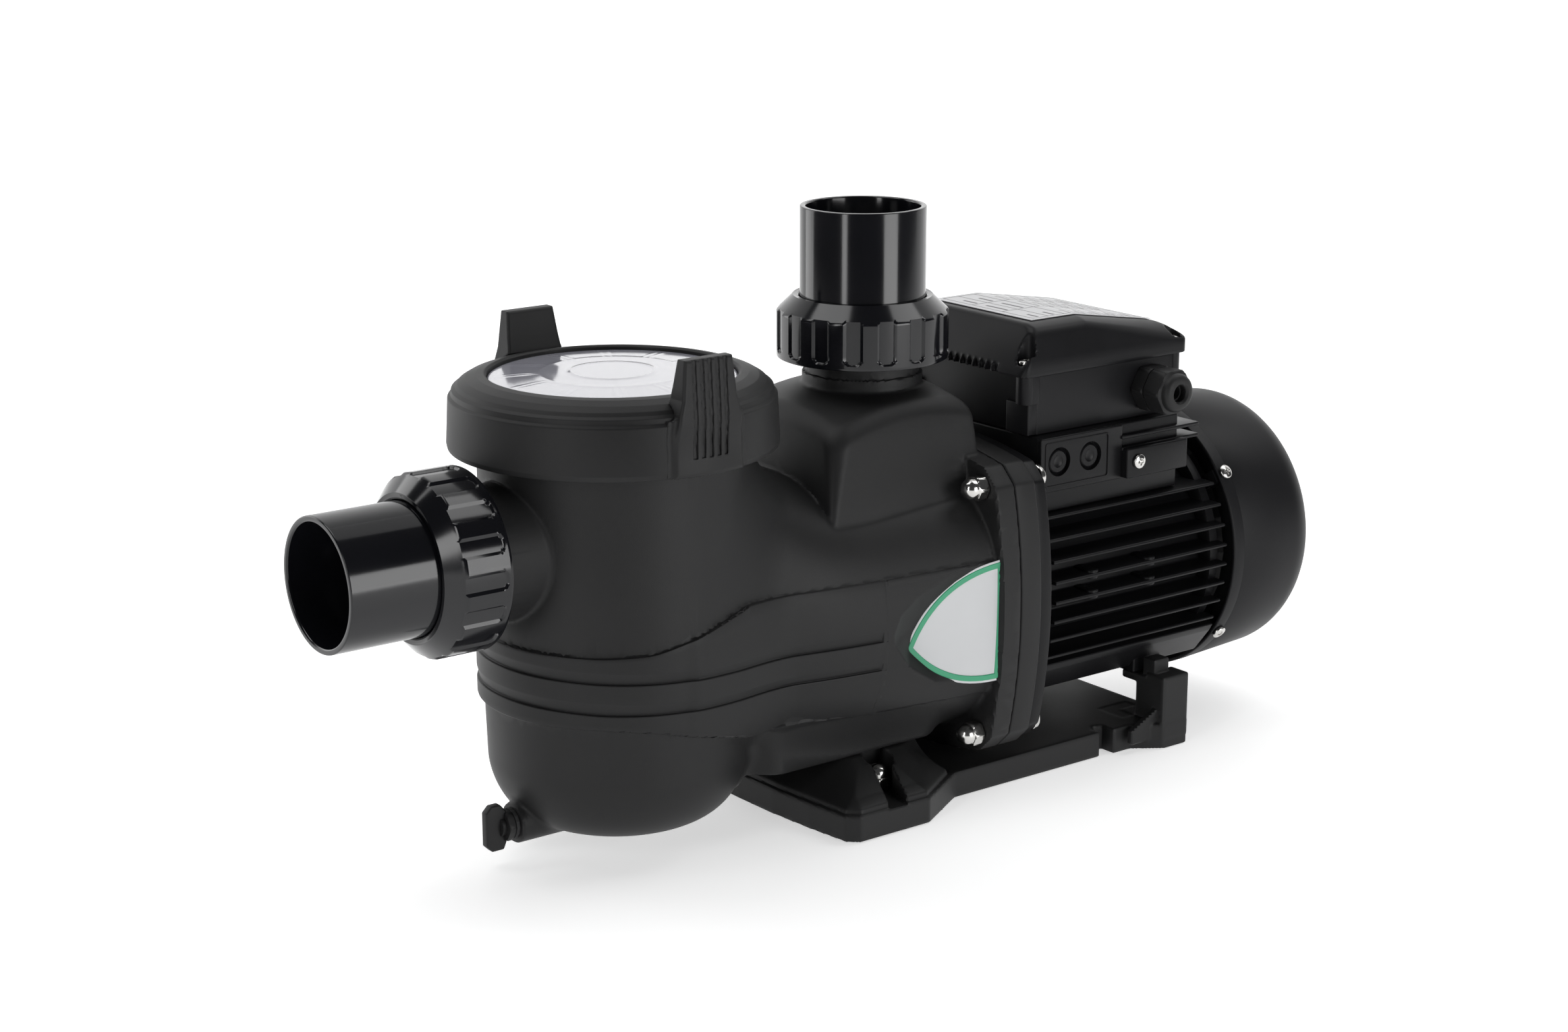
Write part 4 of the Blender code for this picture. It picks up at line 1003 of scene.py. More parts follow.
def build_window(place):
    """A clear disc with moulded rings and paired spokes on a slightly crowned face."""
    columns = WINDOW_SPOKES * 24
    angles = np.arange(columns) * 2 * math.pi / columns
    turn = 2 * math.pi / WINDOW_SPOKES
    spoke = np.abs((angles / turn + 0.5) % 1.0 - 0.5) * turn
    radii = [2, 8, 14, 20, 20.9, 21.3, 22.1, 22.5, 26, 31, 36.8, 37.4, 38.6, 39.2]
    radii += [44, 50, 56, 60, 62.6, 63.2, 64.2, WINDOW_RADIUS]
    rows = [(ON_AXIS, WINDOW_TOP)]
    for radius in radii:
        height = WINDOW_TOP - 2.4 * (radius / WINDOW_RADIUS) ** 2
        for centre in WINDOW_RINGS:
            height += 0.45 * math.exp(-(((radius - centre) / 0.5) ** 2))
        if radius > 64.5:
            height -= 0.4
        paired = np.abs(spoke * radius - 1.8)
        line = 0.3 * np.exp(-((paired / 0.7) ** 2)) * (40 < radius < 62)
        rows.append((radius, height + line))
    rows += [(WINDOW_RADIUS, 249.0), (80.2, 248.9), (80.2, 245.2), (64.0, 245.2), (60.0, 250.4)]
    rows.append((ON_AXIS, 252.6))
    disc = grid_skin(close_loop(rows), columns, place)
    piece("lid_glass", [(disc, CLEAR)], "lid", ("lid_window",), 30)


# -------------------------------------------------------------- base plate

BASE_SIDE = [(-86.5, 0.0), (-85.8, -30.0), (-83.6, -60.0), (-80.2, -88.4, 2.5), (-74.0, -93.6, 3.0)]
BASE_SIDE += [(-25.6, -93.3, 4.0), (10.5, -72.4, 6.0), (122.6, -72.4, 1.5), (122.6, -66.0, 0.8)]
BASE_SIDE += [(126.0, -61.0, 2.5), (131.8, -64.0, 0.8), (131.8, -73.6, 1.5), (145.3, -73.6, 1.5)]
BASE_SIDE += [(161.2, -84.8, 2.0), (181.3, -84.8, 1.5)]


def mirrored(side):
    return list(side) + [(p[0], -p[1], *p[2:]) for p in reversed(side) if abs(p[1]) > 1e-6]


LOW_SIDE = [(-84.5, 0), (-83.6, -30), (-78.6, -86), (-72, -91.4), (-26, -91.2), (5, -72), (6, -10)]
HIGH_SIDE = [(-58, 0), (-58, -30), (-57, -52), (-54, -60), (-18, -60), (-3, -52), (0, -10)]
PLAN = tabled(fillet(mirrored(BASE_SIDE), 0.5, 4))
PAD_LOW = tabled(fillet(mirrored(LOW_SIDE), 1.5, 3))
PAD_HIGH = tabled(fillet(mirrored(HIGH_SIDE), 1.5, 3))
PLATE_TOP = 15.0
ANCHOR = (-37.5, 62.0)


def base_field(x, y, z):
    """The footed plate, its raised pad under the pump, the motor's posts and the anchor slots."""
    side = np.abs(y)
    plate = both(PLAN(x, y), z - PLATE_TOP, 1.3)
    low, high = PAD_LOW(x, y), PAD_HIGH(x, y)
    share = np.clip(np.maximum(high, 0) / (np.maximum(high, 0) + np.maximum(-low, 1e-3)), 0, 1)
    pad = both(low, (z - (34.0 - 16.5 * share)) * 0.72, 0.8)
    plate = join(plate, pad, 1.0)
    post = box(x, side, z, (160.3, 50.0, 5.0), (181.3, 84.8, 41.0), 1.2)
    post = join(post, box(x, side, z, (160.3, 70.0, 20.0), (181.3, 84.8, 43.5), 1.2))
    post = join(post, box(x, side, z, (161.5, 66.0, 30.0), (173.5, 76.0, 52.0), 1.2), 0.6)
    gusset = box(x, side, z, (140.0, 76.5, 5.0), (163.0, 80.5, 24.0), 1.0)
    gusset = np.maximum(gusset, (z - PLATE_TOP) - (x - 143.0) * 0.5)
    plate = join(plate, join(post, gusset), 0.8)
    plate = cut(plate, box(x, side, z, (150.0, 40.0, PLATE_TOP), (174.0, 62.0, 36.0), 0.8), 0.6)
    plate = cut(plate, np.maximum(barrel(x, y, z) - 2.2, x - 36.0))
    lean = math.radians(18.0)
    along_x, along_y = x + 36.0, side - 58.0
    across = along_x * math.cos(lean) + along_y * math.sin(lean)
    along = along_y * math.cos(lean) - along_x * math.sin(lean)
    slot = np.maximum(np.abs(across) - 6.0, span(along, -8.0, 46.0))
    plate = cut(plate, np.maximum(slot, 14.0 - z), 0.8)
    bolt_r = np.hypot(x - ANCHOR[0], side - ANCHOR[1])
    plate = cut(plate, np.maximum(bolt_r - 8.9, 14.0 - z), 0.5)
    plate = cut(plate, bolt_r - 4.4)
    return np.maximum(plate, -z)


def build_base():
    step = 1.15
    shape = surface(base_field, (-92, -98, -4), (186, 98, 56), step, 3)
    keep = 0.8
    piece("base_moulding", [(shape, PLASTIC)], "pump", ("base",), 34, keep)


# -------------------------------------------------------------- fasteners


def acorn(place, bore=0.0):
    """A domed hexagon nut, 13 mm across."""
    columns = 72
    flat = hexagon(columns, 13.0, 7.3)
    rows = [(max(bore, ON_AXIS), 0.0), (6.3, 0.0), (np.minimum(flat, 6.9), 0.25), (flat, 0.8), (flat, 5.6)]
    rows += [(np.minimum(flat, 6.95), 6.2), (6.35, 6.6), (5.95, 6.8), (5.9, 8.0)]
    rows += quarter((0.0, 8.0), (5.9, 5.6), 8, 7) + [(ON_AXIS, 13.6)]
    if bore:
        rows += [(ON_AXIS, 8.4), (bore, 8.4)]
    return grid_skin(close_loop(rows), columns, place, math.pi / 6)


PAN_RADIUS = 4.3
SCREW_SEAT = 236.6
LID_BOTTOM = 230.3
LID_SCREWS = ((75.0, -53.0), (75.0, 53.0), (189.0, -53.0), (189.0, 53.0))


def pan_field(x, y, z):
    """A low domed screw head with a cross recess."""
    radius = np.hypot(x, y)
    drop = PAN_RADIUS * 1.55
    dome = np.sqrt(radius**2 + (z + drop) ** 2) - drop - 2.7
    shape = both(np.maximum(radius - PAN_RADIUS, -z), dome, 0.5)
    arms = [np.maximum(np.abs(u) - 0.55, np.abs(v) - 2.0) for u, v in ((x, y), (y, x))]
    return cut(shape, np.maximum(np.minimum(*arms), 1.2 - z + radius * 0.35), 0.15)


def build_screws():
    head_shape = surface(pan_field, (-6, -6, -1), (6, 6, 5), 0.32, 3)

    def screw(name, length, place, node):
        shank = lathe([(0, -length), (1.4, -length), (2.0, -length + 1), (2.0, 0.4), (0, 0.4)], 24, place)
        parts = [(moved(head_shape, place), STEEL), (shank, STEEL)]
        piece(name, parts, "pump", (node,), 32)

    screw("earth_stud", 9.0, at(147.0, -71.3, 174.0, "-Y"), "earth_screw")
    for side in (-1, 1):
        for height in (1, -1):
            label = ("front", "back")[side > 0] + ("_lower", "_upper")[height > 0]
            turn = math.radians(36.0) * height
            direction = Vector((0, side * math.cos(turn), math.sin(turn)))
            place = direction.to_track_quat("Z", "X").to_matrix().to_4x4()
            place = Matrix.Translation(Vector((222.5, 0, SHAFT_Z)) + direction * 83.7) @ place
            screw(f"cover_stud_{label}", 11.0, place, f"cover_screw_{label}")
    for index, (x, y) in enumerate(LID_SCREWS):
        screw(f"lid_stud_{index + 1}", 14.0, at(x, y, SCREW_SEAT + 0.3), f"lid_screw_{index + 1}")


def build_bolts():
    for label, y, z in bolt_places():
        place = at(0, y, z, "X")
        dome = [(0, 19.7), (3.7, 19.7), (4.0, 20.3), (4.0, 66.3), (6.6, 66.3), (6.9, 66.7), (6.9, 68.4)]
        bolt = lathe(dome + quarter((0.0, 68.4), (6.9, 3.5), 8), 48, place)
        piece(f"tie_bolt_{label}", [(bolt, STEEL)], "pump", (f"flange_bolt_{label}",), 30)
        nut = acorn(at(27.7, y, z, "-X"), BOLT_HOLE)
        piece(f"cap_nut_{label}", [(nut, STEEL)], "pump", (f"acorn_nut_{label}",), 24)
    for sign, label in ((-1, "front"), (1, "back")):
        place = at(ANCHOR[0], sign * ANCHOR[1], 0)
        shank = lathe([(0, 3.0), (3.6, 3.0), (4.0, 3.6), (4.0, 16.0), (0, 16.0)], 36, place)
        parts = [(shank, STEEL), (acorn(at(ANCHOR[0], sign * ANCHOR[1], 14.3)), STEEL)]
        piece(f"foot_nut_{label}", parts, "pump", (f"foot_bolt_{label}",), 24)


# -------------------------------------------------- flange layers and motor


def plate(outline, low, high, radius=0.8, place=None, holes=(), low_radius=None):
    """A prism with straight holes through it."""
    if area_of([p[:2] for p in outline]) < 0:
        outline = outline[::-1]
    points, faces = prism(outline, low, high, radius, None, 3, low_radius)
    count = len(outline)
    last = len(points) - count
    faces = faces[1:-1]
    rims = [[tuple(points[i]) for i in range(count)], [tuple(points[last + i]) for i in range(count)]]
    starts, extra = [], []
    total = len(points)
    for hole in holes:
        if area_of([p[:2] for p in hole]) < 0:
            hole = hole[::-1]
        size = len(hole)
        starts.append((total, size))
        extra += [(x, y, low) for x, y in hole] + [(x, y, high) for x, y in hole]
        for index in range(size):
            after = (index + 1) % size
            faces.append((total + index, total + size + index, total + size + after, total + after))
        total += 2 * size
    for top, rim in enumerate(rims):
        loops = [[Vector(p) for p in rim]]
        ids = [last + i if top else i for i in range(count)]
        for (start, size), hole in zip(starts, holes):
            begin = start + (size if top else 0)
            loops.append([Vector(extra[begin - len(points) + i]) for i in range(size)])
            ids += list(range(begin, begin + size))
        for triangle in tessellate_polygon(loops):
            face = [ids[i] for i in triangle]
            a, b, c = [Vector(points[i]) if i < len(points) else Vector(extra[i - len(points)]) for i in face]
            up = (b - a).cross(c - a).z > 0
            faces.append(tuple(face if up == bool(top) else face[::-1]))
    if extra:
        points = np.concatenate([points, np.array(extra)])
    shape = points, faces
    return moved(shape, place) if place else shape


def circle(radius, count=64, x=0.0, y=0.0):
    angles = np.arange(count) * 2 * math.pi / count
    return [(x + radius * math.cos(a), y + radius * math.sin(a)) for a in angles]


def build_flanges():
    shaft = at(0, 0, SHAFT_Z, "X")
    holes = [circle(BOLT_HOLE, 24, y, z - SHAFT_Z) for _, y, z in bolt_places()]
    shape = plate(flange_outline(0.0, 5.0), 42.3, 57.0, 1.0, shaft, [circle(15.9, 64)] + holes)
    piece("seal_plate_moulding", [(shape, PLASTIC)], "pump", ("seal_plate",), 32)
    shape = plate(flange_outline(1.5, 5.0), 57.3, 66.0, 0.8, shaft, [circle(26.3, 64)] + holes)
    spigot = lathe([(26.3, 60.0), (60.7, 60.0), (60.7, 76.0), (58, 76.0), (54, 70), (26.3, 70)], 96, shaft)
    parts = [(shape, PAINT), (spigot, PAINT)]
    piece("motor_end_shield", parts, "pump", ("motor_flange",), 32)


FIN_TOP = 44.0
FIN_PITCH = 11.6
FIN_COUNT = 8
FIN_ROOT, FIN_REACH = 66.0, 82.0
FRAME_BORE = 61.0
KNOCKOUTS = (90.0, 114.0)


def housing_outline():
    """Cross section of the finned frame, (y, height above the shaft)."""
    half = [(0, -69), (36, -67, 3), (58, -61, 4), (70, -46, 4), (72.5, -41.5, 1)]
    for step in reversed(range(FIN_COUNT)):
        middle = FIN_TOP - FIN_PITCH * step
        root, tip = math.sqrt(FIN_ROOT**2 - middle**2), math.sqrt(FIN_REACH**2 - middle**2)
        half += [(root, middle - 1.7, 1.4), (tip, middle - 1.05, 1.0), (tip, middle + 1.05, 1.0)]
        half += [(root, middle + 1.7, 1.4)]
    half += [(42, 52, 2), (30, 62, 2), (0, 66)]
    other = [(-p[0], p[1], *p[2:]) for p in reversed(half[1:-1])]
    return fillet(half + other, 0.4, 3)


FRONT_PANEL = Matrix(((1, 0, 0, 0), (0, 0, -1, 0), (0, 1, 0, 0), (0, 0, 0, 1)))
SIDE_BRICKS = (
    ((138.6, 187.0), (50.0, 71.0), (164.5, 182.0), 1.0),
    ((158.0, 180.0), (46.0, 62.0), (41.4, 60.0), 1.2),
    ((138.0, 200.0), (40.0, 67.0), (180.2, 182.4), 0.7),
    ((138.0, 200.0), (40.0, 67.0), (187.0, 189.2), 0.7),
)


def build_motor():
    shaft = at(0, 0, SHAFT_Z, "X")
    bore = circle(FRAME_BORE, 96)
    shapes = [plate(housing_outline(), 75.5, 212.9, 0.7, shaft, [bore])]
    shapes.append(plate(circle(65.0, 96), 66.3, 77.0, 0.5, shaft, [bore]))
    ring = [(FRAME_BORE, 205.0), (72.0, 205.0), (74.5, 206.0), (74.5, 212.0), (72, 212.9)]
    ring.append((FRAME_BORE, 212.9))
    shapes.append(lathe(ring, 96, shaft))
    shapes.append(brick((76.0, -63.4, 152.0), (186.0, 63.4, 195.6), 1.0))
    for side in (-1, 1):
        for (x0, x1), (y0, y1), (z0, z1), radius in SIDE_BRICKS:
            low_y, high_y = sorted((side * y0, side * y1))
            shapes.append(brick((x0, low_y, z0), (x1, high_y, z1), radius))
        for x, step in ((107.0, 3), (152.0, 3), (107.0, 4), (152.0, 4)):
            middle = FIN_TOP - FIN_PITCH * step
            tip = math.sqrt(FIN_REACH**2 - middle**2)
            place = at(x, side * (tip - 9.0), SHAFT_Z + middle - 2.6)
            shapes.append(prism(fillet(rectangle(-4, -8, 4, 8), 3.8, 5), 0, 5.2, 0.7, place))
    rim = fillet(rectangle(76.0, 164.0, 139.0, 195.6), 1.2, 3)
    knock = [circle(8.4, 48, x, 181.0) for x in KNOCKOUTS]
    shapes.append(plate(rim, 62.0, 66.0, 0.7, FRONT_PANEL, knock))
    lip = fillet(rectangle(79.0, 167.0, 128.0, 193.0), 2.0, 3)
    inner = fillet(rectangle(79.8, 167.8, 127.2, 192.2), 1.4, 3)
    shapes.append(plate(lip, 65.5, 66.5, 0.3, FRONT_PANEL, [inner]))
    disc = [(0, 0), (8.6, 0), (8.6, 1), (7.4, 1.3), (6.9, 2.2), (6, 2.9), (3.6, 2.9), (2.8, 2.4), (0, 2.2)]
    for x in KNOCKOUTS:
        shapes.append(lathe(disc, 48, at(x, -62.3, 181.0, "-Y")))
    parts = [(shape, PAINT) for shape in shapes]
    piece("motor_frame", parts, "pump", ("motor_housing",), 32)


COVER_SLOTS = 10


def build_fan_cover():
    shaft = at(0, 0, SHAFT_Z, "X")
    turn = (62.9, 272.4)
    profile = [(81.6, 217.5, 0.3), (83.4, 217.5, 0.8), (83.25, 225.8), (82.95, 226.1)]
    profile += [(82.95, 226.7), (83.1, 227.0), (80.8, 272.4)] + quarter(turn, (17.9, 21.6), 12)
    profile += [(62.0, 294.0), (62.0, 292.2)] + quarter(turn, (16.1, 19.8), 12, 11)[::-1]
    profile += [(79.0, 272.4)]
    shell = lathe(fillet(profile, 0.0, 3), 144, shaft)
    slots = []
    outline = fillet([(22, -3.0, 1.5), (58, -7.0, 2.5), (58, 7.0, 2.5), (22, 3.0, 1.5)], 2.0, 3)
    for step in range(COVER_SLOTS):
        angle = 2 * math.pi * (step + 0.5) / COVER_SLOTS
        cos, sin = math.cos(angle), math.sin(angle)
        slots.append([(u * cos - v * sin, u * sin + v * cos) for u, v in outline])
    disc = plate(circle(62.0, 144), 292.2, 294.0, 0.0, shaft, slots)
    piece("fan_hood", [(shell, SATIN), (disc, SATIN)], "pump", ("fan_cover",), 34)


# ------------------------------------------------------------ terminal box


def build_box():
    outline = fillet(rectangle(76.5, -57, 190, 57), 5.0, 5)
    inner = fillet(rectangle(79, -54, 187, 54), 3.0, 5)
    shapes = [plate(outline, 196.0, 230.0, 0.9, None, [inner], 0.6)]
    shapes.append(plate(inset(inner, -1.0), 196.3, 199.0, 0.0, None, [circle(12.0, 48, 110.0, 0.0)]))
    for side in (-1, 1):
        near, far = side * 45.8, side * 57.4
        boss = fillet([(71.6, near, 4.5), (71.6, far, 4.5), (82, far), (82, near)], 1.0, 6)
        near, far = side * 38.5, side * 57.2
        panel = fillet([(73.4, near), (73.4, far), (80, far), (80, near)], 0.8, 3)
        shapes += [plate(boss, 213.6, 230.0, 0.5), plate(panel, 196.4, 214.2, 0.5)]
    post = [(2.3, 214.0), (4.6, 214.0), (4.8, 214.4), (4.8, 229.7), (2.3, 229.7)]
    shapes += [lathe(post, 36, at(x, y, 0)) for x, y in LID_SCREWS]
    parts = [(shape, SATIN) for shape in shapes]
    piece("connection_box", parts, "pump", ("terminal_box",), 32)
    build_box_lid()
    build_label()
    build_gland()


def lid_top(x):
    """The terminal lid's height: level in front, then sloping down to the back."""
    return 258.0 - np.maximum(x - 121.0, 0.0) * (10.5 / 65.0)


def box_lid_field(x, y, z, grow=0.0):
    side = np.abs(y)
    front = ((67.0 - x) * 1.81 + z - 231.6) / 2.07 - grow
    shape = both(z - (lid_top(x) + grow), front, 2.0)
    tail = ((x - 186.0) * 0.66 + (z - 247.5)) / 1.2 - grow
    shape = both(shape, tail, 2.5)
    crown = (side - 50.0) * 0.72 + (z - lid_top(x) + 1.0)
    shape = both(shape, crown / 1.23 - grow, 4.0)
    shoulder = ((side - 55.0) * 2.6 + (z - 250.0)) / 2.79 - grow
    shape = both(shape, shoulder, 2.0)
    plan = rounded_rectangle(x - 131.5, y, 64.5 + grow, 60.0 + grow, 5.0)
    return both(shape, plan, 1.0)


LID_GROOVE_PITCH = 5.3


def box_lid_solid(x, y, z):
    """The lid as a shell, with grooves down its front, a post and a sunk seat at each screw."""
    side = np.abs(y)
    outside = box_lid_field(x, y, z)
    shape = np.maximum(outside, LID_BOTTOM - z)
    between = np.abs((y + LID_GROOVE_PITCH / 2) % LID_GROOVE_PITCH - LID_GROOVE_PITCH / 2)
    grooves = np.maximum(np.maximum(0.75 - between, side - 38.0), x - 69.4)
    shape = cut(shape, grooves, 0.3)
    inside = box_lid_field(x, y, z, -3.2)
    shape = cut(shape, np.maximum(inside, z - 300.0))
    for screw_x in (75.0, 189.0):
        radius = np.hypot(x - screw_x, side - 53.0)
        post = np.maximum(radius - 6.6, np.maximum(span(z, LID_BOTTOM, 262.0), outside))
        shape = np.minimum(shape, post)
        shape = cut(shape, np.maximum(radius - 4.9, SCREW_SEAT - 0.3 - z), 0.6)
        shape = cut(shape, radius - 2.4)
    return shape


def build_box_lid():
    step = 0.95
    shape = surface(box_lid_solid, (64, -62, 228), (198, 62, 260), step, 3)
    piece("connection_lid", [(shape, SATIN)], "pump", ("terminal_lid",), 34)


def build_label():
    """A silver rating plate with plain rules and boxes where printed data would be."""

    def sheet(x0, x1, y0, y1, lift=0.61, thickness=0.08):
        xs = sorted({x0, x1, *[x for x in (120.0, 121.0, 122.0) if x0 < x < x1]})
        rows = []
        for x in xs:
            low = float(lid_top(x)) + lift
            high = low + thickness
            rows.append([(x, y0, low), (x, y1, low), (x, y1, high), (x, y0, high)])
        return skin(rows)

    parts = [(sheet(88.0, 182.0, -42.0, 42.0, 0.3, 0.35), LABEL)]
    marks = [(x, x + 0.5, -39.0, 39.0) for x in (92.0, 104.0, 116.0, 128.0, 140.0, 152.0, 164.0, 177.0)]
    marks += [(92.0, 177.5, y, y + 0.5) for y in (-39.0, -13.0, 13.0, 38.5)]
    for row, x in enumerate((97.0, 109.0, 121.5, 133.0, 145.0, 157.0, 169.5)):
        for column in range(3):
            start = -37.0 + 26.0 * column
            length = 9.0 + 3.0 * ((row * 5 + column * 3) % 5)
            marks.append((x, x + 1.6, start, start + length))
    parts += [(sheet(*mark), INK) for mark in marks]
    piece("rating_plate", parts, "pump", ("rating_label",), 30)


def build_gland():
    place = at(166.5, -57.3, 213.0, "-Y")
    body = hex_column(25.0, [(0.0, 13.4), (0.8, 99), (8.2, 99), (9.0, 13.4)], 72, place, 5.0)
    stem = lathe([(5.0, -6.0), (7.6, -6.0), (8.0, -5.4), (8.0, 0.5), (5.0, 0.5)], 48, place)
    sleeve = lathe([(5.0, 8.0), (9.8, 8.0), (9.8, 16.4), (9.2, 17.0), (5.0, 17.0)], 48, place)
    parts = [(shape, PLASTIC) for shape in (body, stem, sleeve)]
    piece("gland_base", parts, "pump", ("gland_body",), 30)
    columns = 72
    flat = hexagon(columns, 25.0, 14.0)
    rows = [(10.4, 9.3), (12.2, 9.3), (np.minimum(flat, 13.3), 9.7), (flat, 10.5), (flat, 20.6)]
    rows += [(np.minimum(flat, 13.2), 21.6), (12.2, 22.0), (11.4, 22.4), (11.2, 23.6)]
    rows += quarter((7.4, 23.6), (3.8, 3.4), 6)
    rows += [(6.2, 27.0), (5.6, 26.6), (5.0, 25.6), (5.0, 22.0), (10.4, 22.0)]
    nut = grid_skin(close_loop(rows), columns, place, math.pi / 6)
    piece("gland_cap", [(nut, PLASTIC)], "gland", ("gland_nut",), 30)


# --------------------------------------------------------------- strainer


def lattice(keep, spot):
    """A shell of cells round Z. keep[i, j] says which are solid; spot(i, j, side) is a corner."""
    around, levels = keep.shape
    index, points, faces = {}, [], []

    def corner(i, j, side):
        key = (i % around, j, side)
        if key not in index:
            index[key] = len(points)
            points.append(spot(*key))
        return index[key]

    for i in range(around):
        for j in range(levels):
            if not keep[i, j]:
                continue
            corners = [(i, j), (i + 1, j), (i + 1, j + 1), (i, j + 1)]
            outer = [corner(a, b, 1) for a, b in corners]
            inner = [corner(a, b, 0) for a, b in corners]
            faces += [tuple(outer), tuple(inner[::-1])]
            near = [(i, j - 1), (i + 1, j), (i, j + 1), (i - 1, j)]
            for edge, (a, b) in enumerate(near):
                if 0 <= b < levels and keep[a % around, b]:
                    continue
                after = (edge + 1) % 4
                faces.append((outer[after], outer[edge], inner[edge], inner[after]))
    return np.array(points, float), faces


WIRE_RADIUS = 1.75


def build_basket():
    place = at(POT_X, 0, 0)
    around, levels = 180, 70
    heights = np.linspace(62.0, 206.0, levels + 1)

    def spot(i, j, side):
        angle = 2 * math.pi * i / around
        z = heights[j]
        radius = 48.0 + (z - 60.0) * 7.5 / 148.4 - (0.0 if side else 2.0)
        return radius * math.cos(angle), radius * math.sin(angle), z

    angles = (np.arange(around) + 0.5) * 2 * math.pi / around
    middle = (heights[:-1] + heights[1:]) / 2
    i, j = np.arange(around)[:, None], np.arange(levels)[None, :]
    keep = (i % 5 < 2) | (j % 6 < 2) | (middle > 190) | (middle < 66)
    mouth_r = np.hypot(52.0 * np.sin(angles)[:, None], middle - SUCTION_Z)
    inlet = np.cos(angles)[:, None] < 0
    keep = (keep | (inlet & (mouth_r < 33.5))) & ~(inlet & (mouth_r < 30.0))
    wall = moved(lattice(keep, spot), place)
    rim = [(53.3, 205.5), (55.4, 205.5), (55.6, 208.4)]
    rim += [(66.2, 208.4, 0.4), (66.5, 210.9, 0.6), (53.4, 211.0, 0.6)]
    parts = [(wall, NYLON), (lathe(fillet(rim, 0.3, 3), 120, place), NYLON)]
    holes = []
    for ring_radius, count in ((14, 8), (24, 14), (34, 20), (43, 26)):
        for step in range(count):
            angle = 2 * math.pi * step / count
            holes.append(circle(2.4, 10, ring_radius * math.cos(angle), ring_radius * math.sin(angle)))
    parts.append((plate(circle(48.1, 96), 60.0, 62.4, 0.5, place, holes), NYLON))
    piece("basket_mesh", parts, "basket", ("strainer_basket",), 32)

    path = [(0.0, 57.5), (0.0, 53.0)]
    for turn in range(0, 181, 6):
        angle = math.radians(turn)
        path.append((-44.0 * math.sin(angle), 49.5 * math.cos(angle)))
    path += [(0.0, -53.0), (0.0, -57.5)]
    rows = []
    for index, (x, y) in enumerate(path):
        before, after = Vector(path[max(index - 1, 0)]), Vector(path[min(index + 1, len(path) - 1)])
        along = (after - before).normalized()
        row = []
        for step in range(14):
            angle = 2 * math.pi * step / 14
            out = WIRE_RADIUS * math.cos(angle)
            row.append((x + along.y * out, y - along.x * out, WIRE_RADIUS * math.sin(angle)))
        rows.append(row)
    tube = moved(skin(rows, True, True), at(POT_X, 0, 202.0))
    piece("bail_wire", [(tube, NYLON)], "bail", ("basket_handle",), 40)


# ------------------------------------------------- floor, light and camera


HEADING, PITCH = math.radians(52.63), math.radians(14.887)


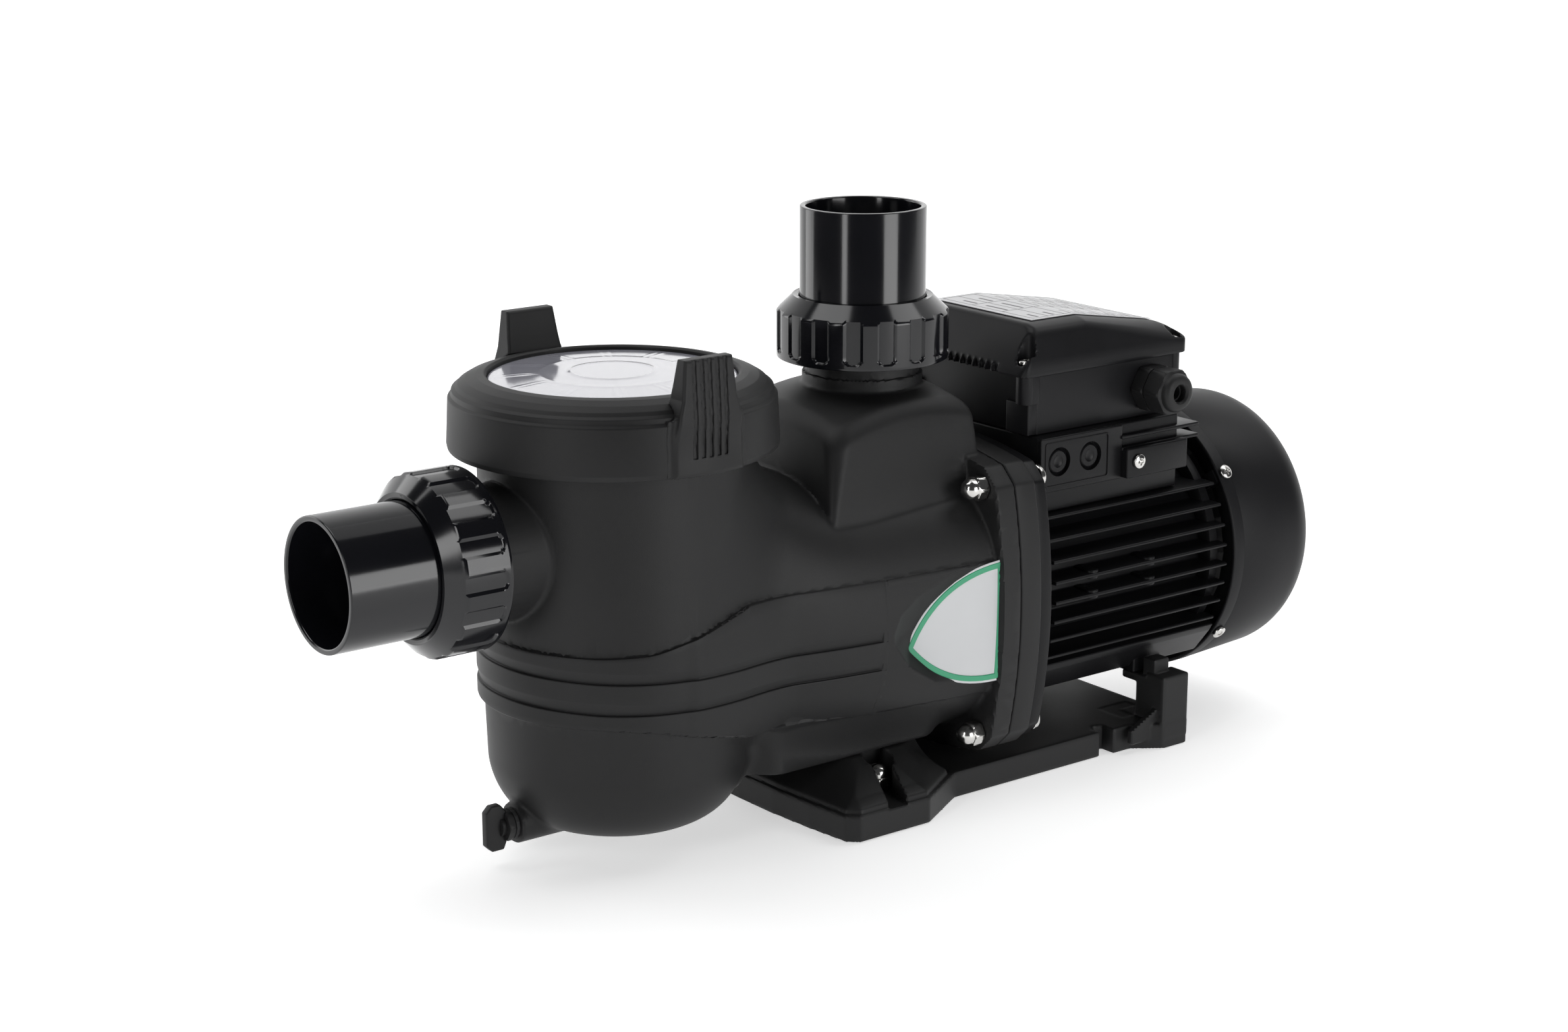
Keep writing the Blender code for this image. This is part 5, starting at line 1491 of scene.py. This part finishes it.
def build_studio():
    floor_finish = material("floor_paper", (0.86, 0.86, 0.86), 0.65, spread=0.01, cloud=3.0, depth=0.01)
    glow = floor_finish.node_tree.nodes["Principled BSDF"].inputs
    glow["Emission Color"].default_value = (1.0, 1.0, 1.0, 1.0)
    glow["Emission Strength"].default_value = 0.53
    rows = []
    profile = [(-6.0, 0.0), (2.2, 0.0)]
    for step in range(1, 13):
        angle = math.pi / 2 * step / 12
        profile.append((2.2 + 1.2 * math.sin(angle), 1.2 - 1.2 * math.cos(angle)))
    profile.append((3.4, 7.0))
    for along, height in profile:
        rows.append([(along, -7.0, height), (along, 7.0, height)])
    points, faces = skin(rows, False, False)
    mesh = bpy.data.meshes.new("backdrop")
    mesh.from_pydata(points.tolist(), [], faces)
    mesh.materials.append(floor_finish)
    mesh.shade_smooth()
    backdrop = bpy.data.objects.new("backdrop", mesh)
    backdrop.matrix_world = Matrix.Rotation(HEADING, 4, "Z") @ Matrix.Translation((0, 0, -0.0005))
    bpy.context.scene.collection.objects.link(backdrop)

    world = bpy.context.scene.world or bpy.data.worlds.new("studio")
    bpy.context.scene.world = world
    world.use_nodes = True
    sky = world.node_tree.nodes["Background"]
    sky.inputs["Color"].default_value = (0.95, 0.97, 1.0, 1.0)
    sky.inputs["Strength"].default_value = 0.05

    lamps = (
        ("key", (-2.1, -0.7, 0.7), (0.0, 0.0, 0.16), (0.35, 1.6), 9.0),
        ("rim", (-1.0, 1.8, 0.7), (-0.1, 0.0, 0.12), (1.0, 1.4), 9.0),
        ("fill", (0.45, -2.05, 0.5), (0.0, 0.0, 0.12), (1.0, 1.0), 15.0),
        ("top", (0.2, 0.4, 2.4), (0.0, 0.0, 0.0), (1.4, 1.0), 3.0),
        ("paper_left", (-0.8, 1.0, 2.8), (1.5, 2.4, 0.6), (2.0, 2.0), 34.0),
        ("paper_right", (1.8, -0.4, 2.8), (2.6, 1.6, 0.4), (2.0, 2.0), 34.0),
    )
    for name, spot, target, size, power in lamps:
        lamp = bpy.data.lights.new(name, "AREA")
        lamp.shape = "RECTANGLE"
        lamp.size, lamp.size_y = size
        lamp.energy = power
        holder = bpy.data.objects.new(name, lamp)
        turn = (Vector(target) - Vector(spot)).to_track_quat("-Z", "Y").to_matrix().to_4x4()
        holder.matrix_world = Matrix.Translation(spot) @ turn
        bpy.context.scene.collection.objects.link(holder)

    lens = bpy.data.cameras.new("view")
    lens.lens, lens.sensor_width = 63.53, 36.0
    lens.clip_start, lens.clip_end = 0.05, 60.0
    camera = bpy.data.objects.new("view", lens)
    ahead = math.cos(PITCH)
    look = Vector((math.cos(HEADING) * ahead, math.sin(HEADING) * ahead, -math.sin(PITCH)))
    turn = look.to_track_quat("-Z", "Y").to_matrix().to_4x4()
    camera.matrix_world = Matrix.Translation((-0.9522, -1.1751, 0.5519)) @ turn
    bpy.context.scene.collection.objects.link(camera)
    bpy.context.scene.camera = camera
    bpy.context.scene.view_settings.view_transform = "Standard"


finish_nodes()
build_wet_end()
build_lid()
build_base()
build_screws()
build_bolts()
build_flanges()
build_motor()
build_fan_cover()
build_box()
build_basket()
build_studio()
